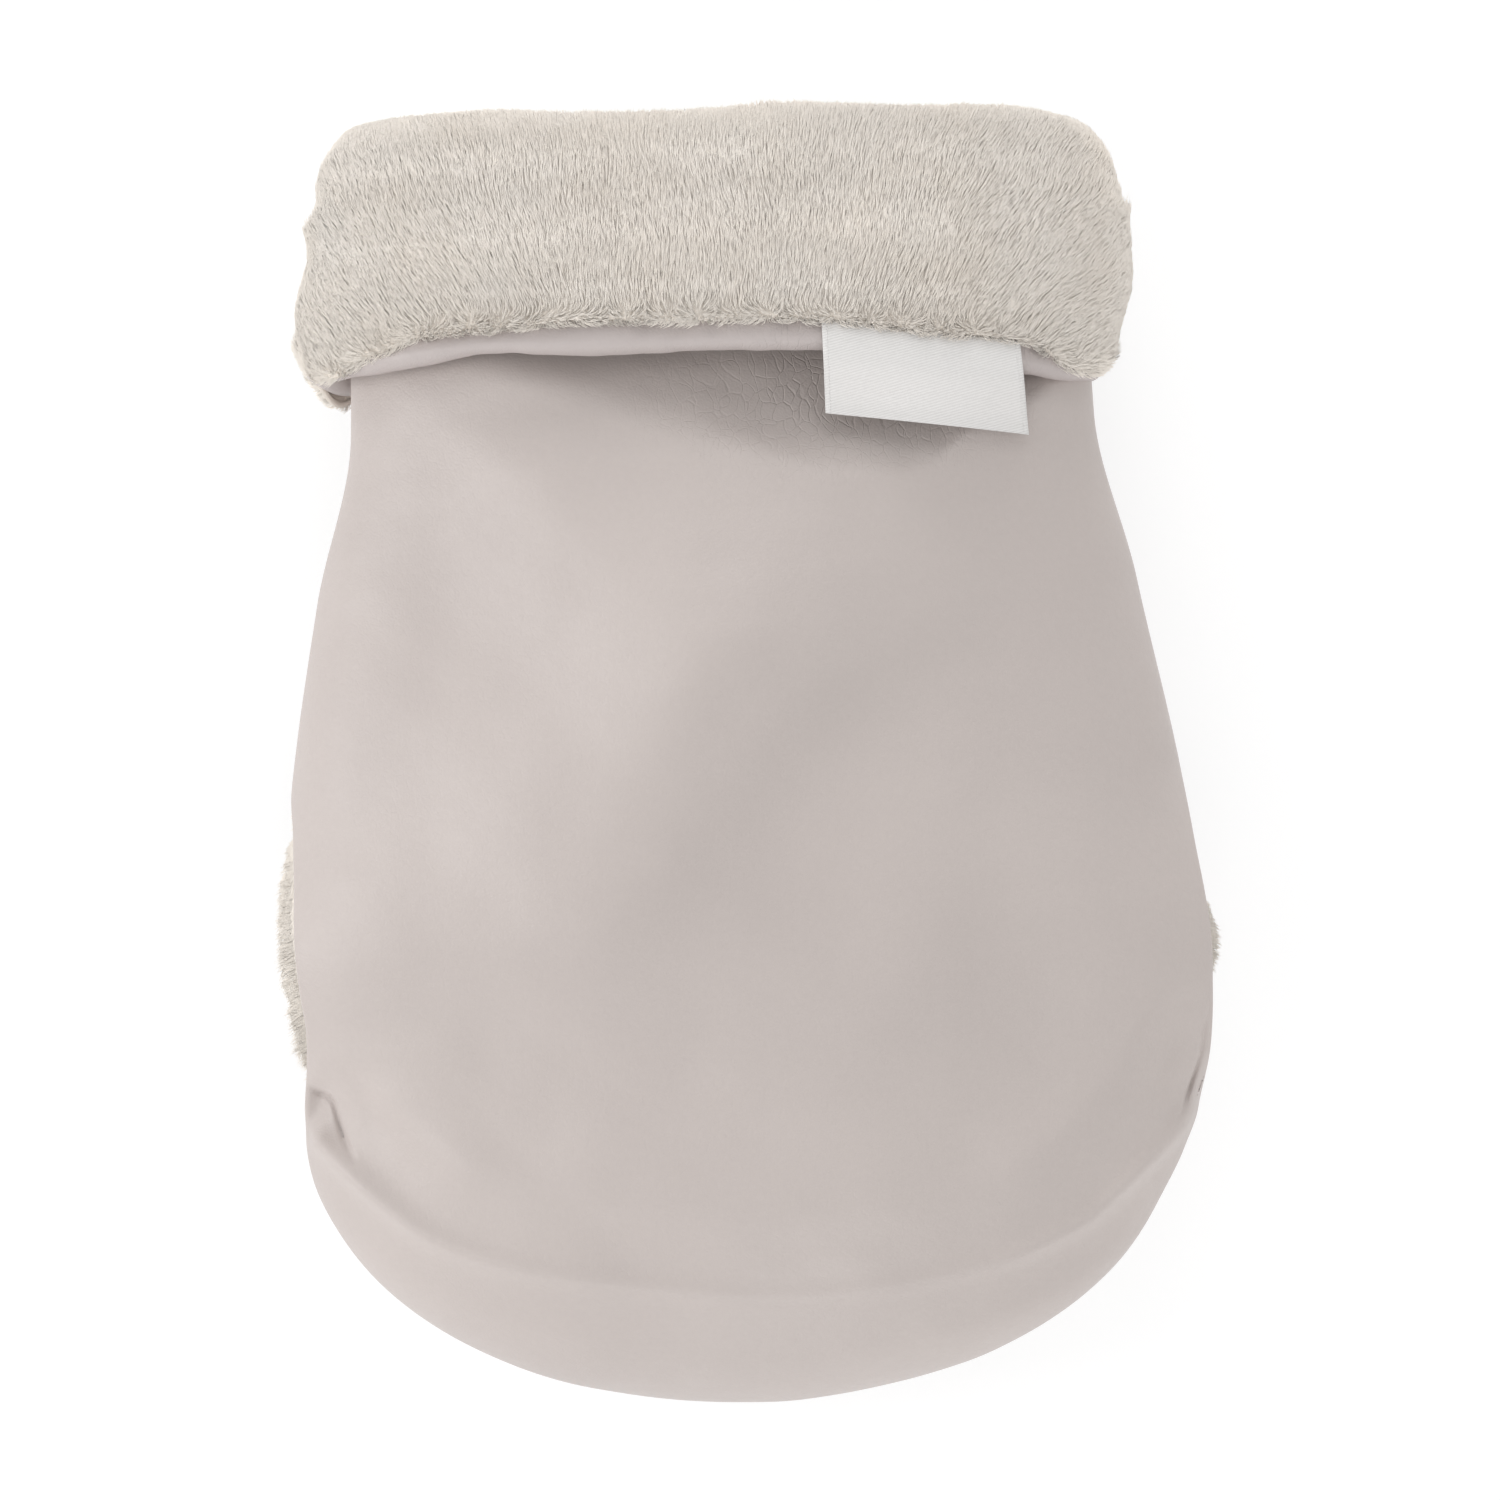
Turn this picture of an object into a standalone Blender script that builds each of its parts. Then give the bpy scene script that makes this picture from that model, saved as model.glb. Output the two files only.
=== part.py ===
"""Stroller hand muff: a padded pouch that both hands go into, closed round the stroller's push bar.

It lies on its back: X runs across it, +Y runs up to the turned-down cuff, +Z comes out of the front,
and the origin is the middle of the rectangle it covers on the table. Inside this file a place is
written as (across, height, forward): height from the tip of the toe, forward from the flat of the
back. All lengths are in metres.
"""

import math

import bmesh
import bpy
from mathutils import Matrix, Vector

# Outline of the pouch, seen from the front
overall_length = 0.448          # tip of the toe to the top of the turned cuff
toe_height = 0.098              # tip of the toe to the fold line of the closure flap
belly_height = 0.165            # where the pouch is widest
shoulder_drop = 0.167           # top of the cuff to the shoulders
neck_drop = 0.110               # top of the cuff to where the sides straighten, just under it
mouth_drop = 0.038              # over which the sides draw in to the corners of the mouth
toe_width = 0.306
belly_width = 0.317
shoulder_width = 0.2815
neck_width = 0.256
mouth_width = 0.2525
mouth_top_width = 0.243

# Depth of the pouch: the side seam's place in front of the back, and the front's crown over it
tip_seam = 0.030
fold_seam = 0.048
belly_seam = 0.050
neck_seam = 0.055
fold_crown = 0.057
belly_crown = 0.060
neck_crown = 0.042
mouth_crown = 0.041
back_corner = 0.065             # how far in from the outline the rounded side of the back reaches

# Layers, from the outside in
skin = 0.0013                   # leatherette
wadding = 0.0050
pile = 0.0075                   # plush lining with its backing
clearance = 0.0003              # between neighbouring pieces

# The crease over the toe, and how far each interface follows it
crease_half_width = 0.136       # where it meets the fold line's height, from the middle
crease_drop = 0.054             # its lowest point, below the fold line
crease_depth = 0.0055
crease_ridge = 0.0016           # how far the toe swells just below it

# The closure flap, the slits above its sides and the tab that overlaps the upper back
flap_length = 0.112             # fold line to the end of the padded flap
lip_height = 0.027              # the flap's turned-up side edges, above its flat
lip_proud = 0.0030              # how far they stand out past the front's edge
shoulder_length = 0.018         # over which the padded flap narrows to the tab
tab_half_width = 0.088
tab_overlap = 0.030
tab_corner = 0.006
slit_gape = 0.029               # how far the front's edge arches away from the seam line
swing_clearance = 0.0012

# The turned-down cuff
cuff_height = 0.087             # its lower edge to its top
cuff_standoff = 0.0010          # between the pouch and the inside of the cuff
cuff_wadding = 0.0042
cuff_bulge = 0.0008             # the plush swells this much at mid height
hem_height = 0.0090             # the leatherette edge that shows under the plush
hem_roll = 0.0045               # height of its rounded lower edge
hem_inset = 0.0010              # the hem's face lies this far behind the plush
cuff_roll = 0.0180              # height of the rounded fold at the top
cuff_tuck = 0.0020              # how far the fold reaches down inside

# Press studs
stud_spacing_share = 0.89       # of half the width of the back's flat
stud_count = 3
cap_radius = 0.0062
cap_height = 0.0013
rivet_radius = 0.0017
rivet_head_radius = 0.0022
rivet_head_height = 0.0004
socket_radius = 0.0056
socket_bore_radius = 0.0029
socket_floor = 0.0007
stud_base_radius = 0.0052
stud_base_height = 0.0007
stud_head_radius = 0.0025
stud_neck_radius = 0.0021
stud_head_height = 0.0020
post_radius = 0.0050
post_height = 0.0009
hole_radius = rivet_radius + clearance

# The label sewn under the plush, bare
label_width = 0.070
label_length = 0.031
label_thickness = 0.0006
label_across = 0.064            # its middle, to the right of the muff's middle
label_standoff = 0.0035         # its free end, in front of the pouch
label_fall_share = 0.10         # of its width, by which the sewn edge falls to the right
label_drift_share = 0.06        # of its length, by which the free end lies to the right

# Shapes and fineness of the surfaces
front_fullness = 2.4            # 2 is an ellipse, more is boxier
pinch_share = 0.45              # of the wadding and pile, lost at a sewn edge
pinch_power = 4
widest_gape_share = 0.9         # of the crown
crease_follow_shares = (1.0, 0.6, 0.0)
crease_fade_share = 0.12        # of its depth, left at the middle of the toe
groove_share = 0.045            # of the quarter turn from edge to middle, on each side of it
flat_share = 0.45               # of the back's columns, on its flat
front_columns = 9
crease_column = 4
corner_columns = 4
flat_columns = 4
flap_columns = 14
slit_rows = 7
upper_rows = 3
toe_rows = 16
fold_steps = 6
hem_steps = 5
label_rows = 7
label_columns = 6
round_segments = 16
weld = 1e-6
step = 1e-3                     # of a surface's own parameters, to take its slope

quarter = math.pi / 2
shoulder_height = overall_length - shoulder_drop
neck_height = overall_length - neck_drop
mouth_height = overall_length - mouth_drop
cuff_low = overall_length - cuff_height
roll_start = overall_length - cuff_roll
cuff_thickness = cuff_standoff + skin + clearance + cuff_wadding + clearance + pile
cap_top = cap_height + clearance
tab_face = cap_top + clearance
tab_inside = tab_face + skin + clearance + skin
socket_base = tab_inside + clearance
stud_tip = socket_base + socket_floor + clearance + rivet_head_height + clearance
stud_base = stud_tip + stud_head_height
upper_back_face = stud_base + stud_base_height + clearance
stack = skin + clearance + wadding + clearance + pile
flap_end = toe_height + flap_length
upper_back_start = toe_height + math.hypot(flap_length, lip_height + stack) + swing_clearance
tab_end = upper_back_start + tab_overlap
stud_height = upper_back_start + tab_overlap / 2


def world(place):
    """A place in the pouch's own terms, as a point of the model."""
    across, height, forward = place
    return Vector((across, height - overall_length / 2, forward))


def through(stations, at):
    """A smooth curve through (place, value) stations, level at both ends and at each peak."""
    stations = sorted(stations)
    slopes = [0.0] * len(stations)
    for i in range(1, len(stations) - 1):
        before = (stations[i][1] - stations[i - 1][1]) / (stations[i][0] - stations[i - 1][0])
        after = (stations[i + 1][1] - stations[i][1]) / (stations[i + 1][0] - stations[i][0])
        if before * after > 0:
            slopes[i] = 2 * before * after / (before + after)
    if at <= stations[0][0]:
        return stations[0][1]
    for i in range(len(stations) - 1):
        (a, low), (b, high) = stations[i], stations[i + 1]
        if at <= b:
            u = (at - a) / (b - a)
            return (
                (2 * u**3 - 3 * u**2 + 1) * low
                + (u**3 - 2 * u**2 + u) * (b - a) * slopes[i]
                + (3 * u**2 - 2 * u**3) * high
                + (u**3 - u**2) * (b - a) * slopes[i + 1]
            )
    return stations[-1][1]


def half_width(height):
    return through(
        [
            (toe_height, toe_width / 2),
            (belly_height, belly_width / 2),
            (shoulder_height, shoulder_width / 2),
            (neck_height, neck_width / 2),
            (mouth_height, mouth_width / 2),
            (roll_start, mouth_top_width / 2),
        ],
        height,
    )


def seam(height):
    return through(
        [(toe_height, fold_seam), (belly_height, belly_seam), (neck_height, neck_seam)], height
    )


def crown(height):
    return through(
        [
            (toe_height, fold_crown),
            (belly_height, belly_crown),
            (neck_height, neck_crown),
            (roll_start, mouth_crown),
        ],
        height,
    )


def upper_back(height):
    """The face of the upper back, in front of the flap's flat."""
    return through(
        [(tab_end, upper_back_face), (cuff_low, cuff_thickness + cuff_bulge)], height
    )


def gape(height):
    """How far the front's edge stands off the seam line, along the slit."""
    share = (height - toe_height) / (upper_back_start - toe_height)
    return slit_gape * math.sin(math.pi * share) if 0 < share < 1 else 0.0


def row_at(s):
    """A row of the front: its edge and its middle in the outline, its seam, crown and first angle.

    s runs down the left side from 0 to 1, round the toe to 2, and up the right side to 3.
    """
    if 1 <= s <= 2:
        turn = math.pi * (s - 1)
        edge = Vector((-toe_width / 2 * math.cos(turn), toe_height * (1 - math.sin(turn))))
        low = fold_seam + (tip_seam - fold_seam) * math.sin(turn) ** 2
        return edge, Vector((0, toe_height)), low, fold_seam + fold_crown, 0.0
    side, share = (-1, s) if s < 1 else (1, 3 - s)
    height = overall_length + (toe_height - overall_length) * share
    edge = Vector((side * half_width(height), height))
    first = math.asin(min(widest_gape_share, gape(height) / crown(height)))
    return edge, Vector((0, height)), seam(height), seam(height) + crown(height), first


def side_row(side, height):
    """The row of the front at this height, on the left (-1) or the right (1)."""
    share = (overall_length - height) / (overall_length - toe_height)
    return share if side < 0 else 3 - share


def front(s, u):
    """The front's outer face: u is 0 at the edge and 1 along the middle."""
    edge, middle, low, top, first = row_at(s)
    angle = first + (quarter - first) * u
    reach = (max(0.0, math.cos(angle)) / math.cos(first)) ** (2 / front_fullness)
    flat = middle + (edge - middle) * reach
    return Vector((flat.x, flat.y, low + (top - low) * math.sin(angle)))


def rounded_back(edge, middle, low, face, c):
    """A back row: c is 1 at the edge, flat_share where its round side ends, and 0 in the middle."""
    inward = (middle - edge).normalized()
    length = (middle - edge).length
    if c > flat_share:
        angle = quarter * (1 - c) / (1 - flat_share)
        flat = edge + inward * back_corner * (1 - math.cos(angle))
        return Vector((flat.x, flat.y, low - (low - face) * math.sin(angle)))
    reach = length - (length - back_corner) * c / flat_share
    flat = edge + inward * reach
    return Vector((flat.x, flat.y, face))


def back(height, c):
    """The upper back's outer face, from the left seam at c = -1 to the right at 1."""
    side = -1 if c < 0 else 1
    edge = Vector((side * half_width(height), height))
    return rounded_back(edge, Vector((0, height)), seam(height), upper_back(height), abs(c))


def toe_back(s, c):
    """The toe's underside, whose rows run from its outline to the middle of the fold line."""
    edge, middle, low, _, _ = row_at(s)
    return rounded_back(edge, middle, low, 0.0, c)


def flap_edge(height):
    """Half the flap's width: its lips, the shoulders and the tab."""
    lip = lip_reach(toe_height)
    return through(
        [
            (toe_height, toe_width / 2 - back_corner * (1 - lip)),
            (belly_height, belly_width / 2 + lip_proud),
            (flap_end - shoulder_length / 2, half_width(flap_end)),
            (flap_end + shoulder_length / 2, tab_half_width),
            (tab_end - 2 * tab_corner, tab_half_width),
            (tab_end, tab_half_width - tab_corner),
        ],
        height,
    )


def flap_flat(height):
    """The flap's outer face at its middle: it lifts so that the caps don't stand out."""
    return through([(flap_end - shoulder_length, 0.0), (flap_end + shoulder_length, tab_face)], height)


def flap_lip(height):
    return through(
        [
            (toe_height, lip_height),
            (flap_end - shoulder_length, lip_height),
            (flap_end + shoulder_length / 2, 0.0),
        ],
        height,
    )


def lip_reach(height):
    """The share of the back's round side that the flap's lip climbs."""
    rise = flap_lip(height) / (seam(height) - flap_flat(height))
    return math.sqrt(max(0.0, 1 - (1 - rise) ** 2))


def flap(height, c):
    """The flap's outer face, from its left edge at c = -1 to its right edge at 1."""
    edge = flap_edge(height)
    across = c * edge
    over = max(0.0, abs(across) - (edge - lip_reach(height) * back_corner)) / back_corner
    rise = 1 - math.sqrt(max(0.0, 1 - over**2))
    low = flap_flat(height)
    return Vector((across, height, low + (seam(height) - low) * rise))


def outward(surface, s, u):
    """The unit normal of a surface, away from the inside of the pouch.

    Above the toe it lies in the level section, so every layer keeps the height it was asked for.
    """
    (first_row, last_row), (first_column, last_column) = spans[surface]
    along = surface(min(s + step, last_row), u) - surface(max(s - step, first_row), u)
    over = surface(s, min(u + step, last_column)) - surface(s, max(u - step, first_column))
    place = surface(s, u)
    outside = place - Vector((0, max(place.y, toe_height), belly_seam))
    normal = along.cross(over)
    if abs(place.x) < weld:
        normal.x = 0
    if surface in (back, flap) or not 1 < s < 2:
        normal.y = 0
    if along.length < weld:
        normal = Vector((0, 0, outside.z))
    normal.normalize()
    return normal if normal.dot(outside) > 0 else -normal


spans = {
    front: ((0, 3), (0, 1)),
    back: ((0, overall_length), (-1, 1)),
    toe_back: ((1, 2), (0, 1)),
    flap: ((0, overall_length), (-1, 1)),
}


def under(surface, s, u, depth):
    """The place this deep under a surface; a negative depth lies outside it."""
    return surface(s, u) - outward(surface, s, u) * depth


def pinch(u):
    """How much of the soft layers' thickness is left, u being 0 at a sewn edge and 1 well inside."""
    return 1 - pinch_share * (1 - min(1.0, u)) ** pinch_power


def crease(s, column):
    """How deep the crease is pressed in at this row and column of the front."""
    if not 1 <= s <= 2:
        return 0.0
    faded = 1 - (1 - crease_fade_share) * math.sin(math.pi * (s - 1)) ** 2
    depths = {crease_column: crease_depth, crease_column - 1: -crease_ridge}
    return depths.get(column, 0.0) * faded


def layer_depths(softness, dent):
    """The six interfaces of the wall, skin to pile, where the soft layers keep this share."""
    first, second, third = (share * dent for share in crease_follow_shares)
    inner = skin + clearance + wadding * softness
    return (
        first,
        skin + first,
        skin + clearance + first,
        inner + second,
        inner + clearance + second,
        inner + clearance + pile * softness + third,
    )


def collection(name):
    made = bpy.data.collections.new(name)
    bpy.context.scene.collection.children.link(made)
    return made


def material(name, colour, roughness, metallic=0.0):
    made = bpy.data.materials.new(name)
    made.use_nodes = True
    shader = made.node_tree.nodes["Principled BSDF"]
    shader.inputs["Base Color"].default_value = (*colour, 1.0)
    shader.inputs["Roughness"].default_value = roughness
    shader.inputs["Metallic"].default_value = metallic
    return made


def add_object(name, bm, surface_material, folder):
    """The finished mesh as a named object, its quads all cut along the same diagonal."""
    bmesh.ops.triangulate(bm, faces=bm.faces, quad_method="FIXED")
    bmesh.ops.recalc_face_normals(bm, faces=bm.faces)
    mesh = bpy.data.meshes.new(name)
    bm.to_mesh(mesh)
    bm.free()
    mesh.materials.append(surface_material)
    mesh.shade_smooth()
    mesh.set_sharp_from_angle(angle=math.radians(50))
    made = bpy.data.objects.new(name, mesh)
    folder.objects.link(made)
    return made


def loft(name, outer, inner, surface_material, folder, closed_middle=False):
    """A closed solid between two lofted faces that are given as equal grids of places.

    With closed_middle the last column is where the solid's two halves meet, so it has no rim.
    """
    bm = bmesh.new()
    grids = [[[bm.verts.new(world(place)) for place in row] for row in grid] for grid in (outer, inner)]
    rows, columns = len(outer), len(outer[0])
    for grid in grids:
        for i in range(rows - 1):
            for j in range(columns - 1):
                bm.faces.new((grid[i][j], grid[i + 1][j], grid[i + 1][j + 1], grid[i][j + 1]))
    rims = [[(0, j) for j in range(columns)], [(rows - 1, j) for j in range(columns)]]
    rims.append([(i, 0) for i in range(rows)])
    if not closed_middle:
        rims.append([(i, columns - 1) for i in range(rows)])
    for rim in rims:
        for (i, j), (k, m) in zip(rim, rim[1:]):
            bm.faces.new((grids[0][i][j], grids[0][k][m], grids[1][k][m], grids[1][i][j]))
    bmesh.ops.remove_doubles(bm, verts=bm.verts, dist=weld)
    return add_object(name, bm, surface_material, folder)


def ring_loft(name, profiles, surface_material, folder):
    """A closed ring through equal profiles, each a closed line of places."""
    bm = bmesh.new()
    lines = [[bm.verts.new(world(place)) for place in line] for line in profiles]
    for line, following in zip(lines, lines[1:] + lines[:1]):
        for j in range(len(line)):
            k = (j + 1) % len(line)
            bm.faces.new((line[j], following[j], following[k], line[k]))
    return add_object(name, bm, surface_material, folder)


def turned(name, profile, place, surface_material, folder):
    """A round piece that stands on its axis; its profile runs down its outer side."""
    mesh = bpy.data.meshes.new(name)
    points = [(radius, 0.0, forward) for radius, forward in profile]
    mesh.from_pydata(points, [(i, i + 1) for i in range(len(points) - 1)], [])
    mesh.materials.append(surface_material)
    made = bpy.data.objects.new(name, mesh)
    folder.objects.link(made)
    screw = made.modifiers.new("Turn", "SCREW")
    screw.axis = "Z"
    screw.steps = screw.render_steps = round_segments
    screw.use_merge_vertices = True
    screw.merge_threshold = weld
    screw.use_smooth_shade = True
    across, height = place
    made.location = world((across, height, 0.0))
    return made


def front_grid(depth_index, top, rows):
    """The front at one interface of the wall: rows round the outline, columns edge to middle."""
    grid = []
    for s in rows:
        line = []
        for column in range(front_columns + 1):
            u = column_share(s, column)
            dent = crease(s, column)
            depth = layer_depths(pinch(2 * u), dent)[depth_index]
            place = under(front, s, u, depth)
            if column == 0:
                place.z += clearance / 2
            place.y = min(place.y, top)
            line.append(place)
        grid.append(line)
    return grid


def column_share(s, column):
    """Where a column of the front lies, 0 at the edge: in the toe three of them hold the crease."""
    plain = column / front_columns
    if not 1 < s < 2:
        return plain
    edge, middle, _, _, _ = row_at(s)
    direction = (edge - middle).normalized()
    inside = 1 / math.hypot(direction.x / crease_half_width, direction.y / crease_drop)
    reach = min(1.0, inside / (edge - middle).length)
    follow = math.acos(reach ** (front_fullness / 2)) / quarter
    if column < crease_column:
        held = (follow - groove_share) * column / (crease_column - 1)
    elif column == crease_column:
        held = follow
    else:
        rest = (column - crease_column - 1) / (front_columns - crease_column - 1)
        held = follow + groove_share + (1 - follow - groove_share) * rest
    blend = math.sqrt(math.sin(math.pi * (s - 1)))
    return plain + (held - plain) * blend


def side_heights():
    """The heights of the rows up each side, which every layer there shares."""
    slit = [
        toe_height + (upper_back_start - toe_height) * i / slit_rows for i in range(slit_rows + 1)
    ]
    return slit + upper_heights()[1:]


def upper_heights():
    """The rows of the upper back: its hem, the stretch up to the cuff, and those under the cuff."""
    above = cuff_low + hem_roll
    stretch = [tab_end + (above - tab_end) * i / upper_rows for i in range(upper_rows + 1)]
    return [upper_back_start] + stretch + [mouth_height, roll_start]


def make_front(folder, leatherette, padding, plush):
    heights = side_heights()
    left = [side_row(-1, height) for height in reversed(heights)]
    toe = [1 + i / toe_rows for i in range(1, toe_rows)]
    right = [side_row(1, height) for height in heights]
    rows = left + toe + right
    lower = roll_start - cuff_tuck - clearance
    tops = (roll_start, lower, lower)
    names = ("outer_front_panel", "front_wadding", "front_lining")
    for index, (name, top, stuff) in enumerate(zip(names, tops, (leatherette, padding, plush))):
        loft(
            name,
            front_grid(2 * index, top, rows),
            front_grid(2 * index + 1, top, rows),
            stuff,
            folder,
            closed_middle=True,
        )


def back_columns():
    """The back's columns, left seam to right seam."""
    corner = [1 - (1 - flat_share) * i / corner_columns for i in range(corner_columns + 1)]
    flat = [flat_share * (1 - 2 * i / flat_columns) for i in range(1, flat_columns)]
    return [-c for c in corner] + [-c for c in flat] + corner[::-1]


def back_grid(heights, depth_of, top):
    grid = []
    for height in heights:
        line = []
        for c in back_columns():
            place = under(back, height, c, depth_of(pinch(2 * (1 - abs(c)))))
            if abs(c) == 1:
                place.z -= clearance / 2
            place.y = min(place.y, top)
            line.append(place)
        grid.append(line)
    return grid


def make_upper_back(folder, leatherette, padding, plush):
    heights = upper_heights()
    lined = [tab_end + clearance] + heights[2:]
    hem = heights[:2]
    lower = roll_start - cuff_tuck - clearance
    pieces = (
        ("outer_back_panel", heights, 0, 1, roll_start, leatherette),
        ("back_wadding", lined, 2, 3, lower, padding),
        ("back_lining", lined, 4, 5, lower, plush),
    )
    made = {}
    for name, rows, first, last, top, stuff in pieces:
        made[name] = loft(
            name,
            back_grid(rows, lambda soft, i=first: layer_depths(soft, 0)[i], top),
            back_grid(rows, lambda soft, i=last: layer_depths(soft, 0)[i], top),
            stuff,
            folder,
        )
    made["back_hem_facing"] = loft(
        "back_hem_facing",
        back_grid(hem, lambda soft: skin + clearance, roll_start),
        back_grid(hem, lambda soft: skin + clearance + skin, roll_start),
        leatherette,
        folder,
    )
    return made


def make_toe_back(folder, leatherette, padding, plush):
    rows = [1 + i / toe_rows for i in range(toe_rows + 1)]
    corner = [1 - (1 - flat_share) * i / corner_columns for i in range(corner_columns + 1)]
    columns = corner + [flat_share / 2, 0.0]
    names = ("toe_back_panel", "toe_wadding", "toe_lining")
    for index, (name, stuff) in enumerate(zip(names, (leatherette, padding, plush))):
        grids = []
        for interface in (2 * index, 2 * index + 1):
            grid = []
            for s in rows:
                line = []
                for c in columns:
                    depth = layer_depths(pinch(2 * (1 - c)), 0)[interface]
                    place = under(toe_back, s, c, depth)
                    if c == 1:
                        place.z -= clearance / 2
                    place.y = min(place.y, toe_height - clearance / 2)
                    line.append(place)
                grid.append(line)
            grids.append(grid)
        loft(name, grids[0], grids[1], stuff, folder)


def flap_grid(heights, interface):
    grid = []
    for height in heights:
        line = []
        for i in range(flap_columns + 1):
            c = 2 * i / flap_columns - 1
            depth = layer_depths(pinch(3 * (1 - abs(c))), 0)[interface]
            place = under(flap, height, c, depth)
            place.y = height
            line.append(place)
        grid.append(line)
    return grid


def make_flap_hinge(folder):
    """The empty on the fold line, which carries everything that turns with the flap."""
    hinge = bpy.data.objects.new("flap_hinge", None)
    hinge.location = world((0.0, toe_height, 0.0))
    folder.objects.link(hinge)
    return hinge


def carry(hinge, pieces):
    for piece in pieces:
        piece.parent = hinge
        piece.matrix_parent_inverse = Matrix.Translation(-hinge.location)


def make_flap(folder, leatherette, padding, plush):
    first = toe_height + clearance / 2
    shoulder = flap_end - shoulder_length
    padded = [first + (shoulder - first) * i / slit_rows for i in range(slit_rows)]
    padded += [shoulder, (shoulder + flap_end) / 2, flap_end]
    tab_first = flap_end + shoulder_length / 2
    tab = [tab_first, tab_end - 2 * tab_corner, tab_end - tab_corner, tab_end]
    made = {}
    made["flap_outer"] = loft(
        "flap_outer", flap_grid(padded + tab, 0), flap_grid(padded + tab, 1), leatherette, folder
    )
    for name, interface, stuff in (("flap_wadding", 2, padding), ("flap_lining", 4, plush)):
        grids = flap_grid(padded, interface), flap_grid(padded, interface + 1)
        made[name] = loft(name, *grids, stuff, folder)
    hem = [upper_back_start] + tab[1:]
    grids = flap_facing_grid(hem, skin + clearance), flap_facing_grid(hem, 2 * skin + clearance)
    made["flap_hem_facing"] = loft("flap_hem_facing", *grids, leatherette, folder)
    return made


def flap_facing_grid(heights, depth):
    """The tab's facing is flat across, this deep under the flap's outer face."""
    grid = []
    for height in heights:
        edge = flap_edge(height)
        face = flap_flat(height) + depth
        grid.append([Vector((edge * (i - 2) / 2, height, face)) for i in range(5)])
    return grid


def ring_places(height, outside_of):
    """The pouch's section at this height, pushed out by outside_of(softness) all the way round."""
    ring = []
    for side in (-1, 1):
        columns = range(front_columns + 1) if side < 0 else range(front_columns - 1, -1, -1)
        for column in columns:
            u = column / front_columns
            ring.append(under(front, side_row(side, height), u, -outside_of(pinch(2 * u))))
    for c in reversed(back_columns()[1:-1]):
        ring.append(under(back, height, c, -outside_of(pinch(2 * (1 - abs(c))))))
    return ring


def folded_ring(outer, inner, low, bulge, interface):
    """The profile of a layer that goes up the cuff, over its fold and down inside the mouth.

    outer and inner are how far out of the pouch's skin its outside leg lies, and interface is the
    wall's interface that its inside leg starts at. The profile is made of (height, distance) pairs.
    """

    def over(outside, index, rise):
        points = []
        for i in range(fold_steps + 1):
            turn = math.pi * i / fold_steps

            def distance(softness, turn=turn):
                inside = -layer_depths(softness, 0)[index]
                return (outside + inside) / 2 + (outside - inside) / 2 * math.cos(turn)

            points.append((roll_start + rise * math.sin(turn), distance))
        return points

    tuck = roll_start - cuff_tuck
    rise = cuff_roll - (cuff_thickness - outer)
    profile = [(low, lambda softness: outer)]
    profile.append((mouth_height, lambda softness: outer + bulge))
    profile += over(outer, interface + 1, rise)
    profile.append((tuck, lambda softness: -layer_depths(softness, 0)[interface + 1]))
    profile.append((tuck, lambda softness: -layer_depths(softness, 0)[interface]))
    profile += over(inner, interface, rise - (outer - inner))[::-1]
    profile.append((mouth_height, lambda softness: inner))
    profile.append((low, lambda softness: inner))
    return profile


def make_ring(name, profile, stuff, folder):
    """A ring from a profile of (height, distance out) pairs swept round the mouth."""
    around = [ring_places(height, distance) for height, distance in profile]
    lines = [[row[i] for row in around] for i in range(len(around[0]))]
    return ring_loft(name, lines, stuff, folder)


def make_cuff(folder, leatherette, padding, plush):
    facing_out = cuff_standoff + skin
    wadding_out = facing_out + clearance + cuff_wadding
    hem_out = cuff_thickness - hem_inset
    plush_low = cuff_low + hem_height
    over = folded_ring(cuff_thickness, wadding_out + clearance, plush_low + clearance, cuff_bulge, 4)
    make_ring("cuff_plush", over, plush, folder)
    under_plush = folded_ring(wadding_out, facing_out + clearance, cuff_low + hem_roll, 0.0, 2)
    make_ring("cuff_wadding", under_plush, padding, folder)
    make_ring("cuff_facing", facing_profile(hem_out, plush_low), leatherette, folder)


def facing_profile(hem_out, plush_low):
    """The facing lies against the pouch, rolls under the cuff's edge and ends under the plush."""

    def rolled(inset):
        """The roll as seen by a face this deep under the facing's outside."""
        points = []
        for i in range(hem_steps + 1):
            turn = math.pi * i / hem_steps
            distance = middle - (swing - inset) * math.cos(turn)
            height = cuff_low + hem_roll - (hem_roll - inset) * math.sin(turn)
            points.append((height, lambda softness, distance=distance: distance))
        return points

    def upright(heights, distance):
        return [(height, lambda softness: distance) for height in heights]

    middle = (hem_out + cuff_standoff) / 2
    swing = (hem_out - cuff_standoff) / 2
    profile = upright((roll_start, mouth_height), cuff_standoff) + rolled(0.0)
    profile += upright((plush_low,), hem_out) + upright((plush_low,), hem_out - skin)
    profile += rolled(skin)[::-1]
    return profile + upright((mouth_height, roll_start), cuff_standoff + skin)


def label_place(x, y, lift):
    """A place on the label: x across it, y down it from the middle of its sewn edge."""
    across = label_across + x + y * label_drift_share
    top = cuff_low + hem_height - label_thickness
    height = top - (x + label_width / 2) * label_fall_share - y
    share = math.acos((across / half_width(height)) ** (front_fullness / 2)) / quarter
    start = cuff_thickness - hem_inset + clearance
    out = through([(hem_height / 2, start), (label_length, label_standoff)], y)
    return under(front, side_row(1, height), share, -(out + lift))


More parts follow.
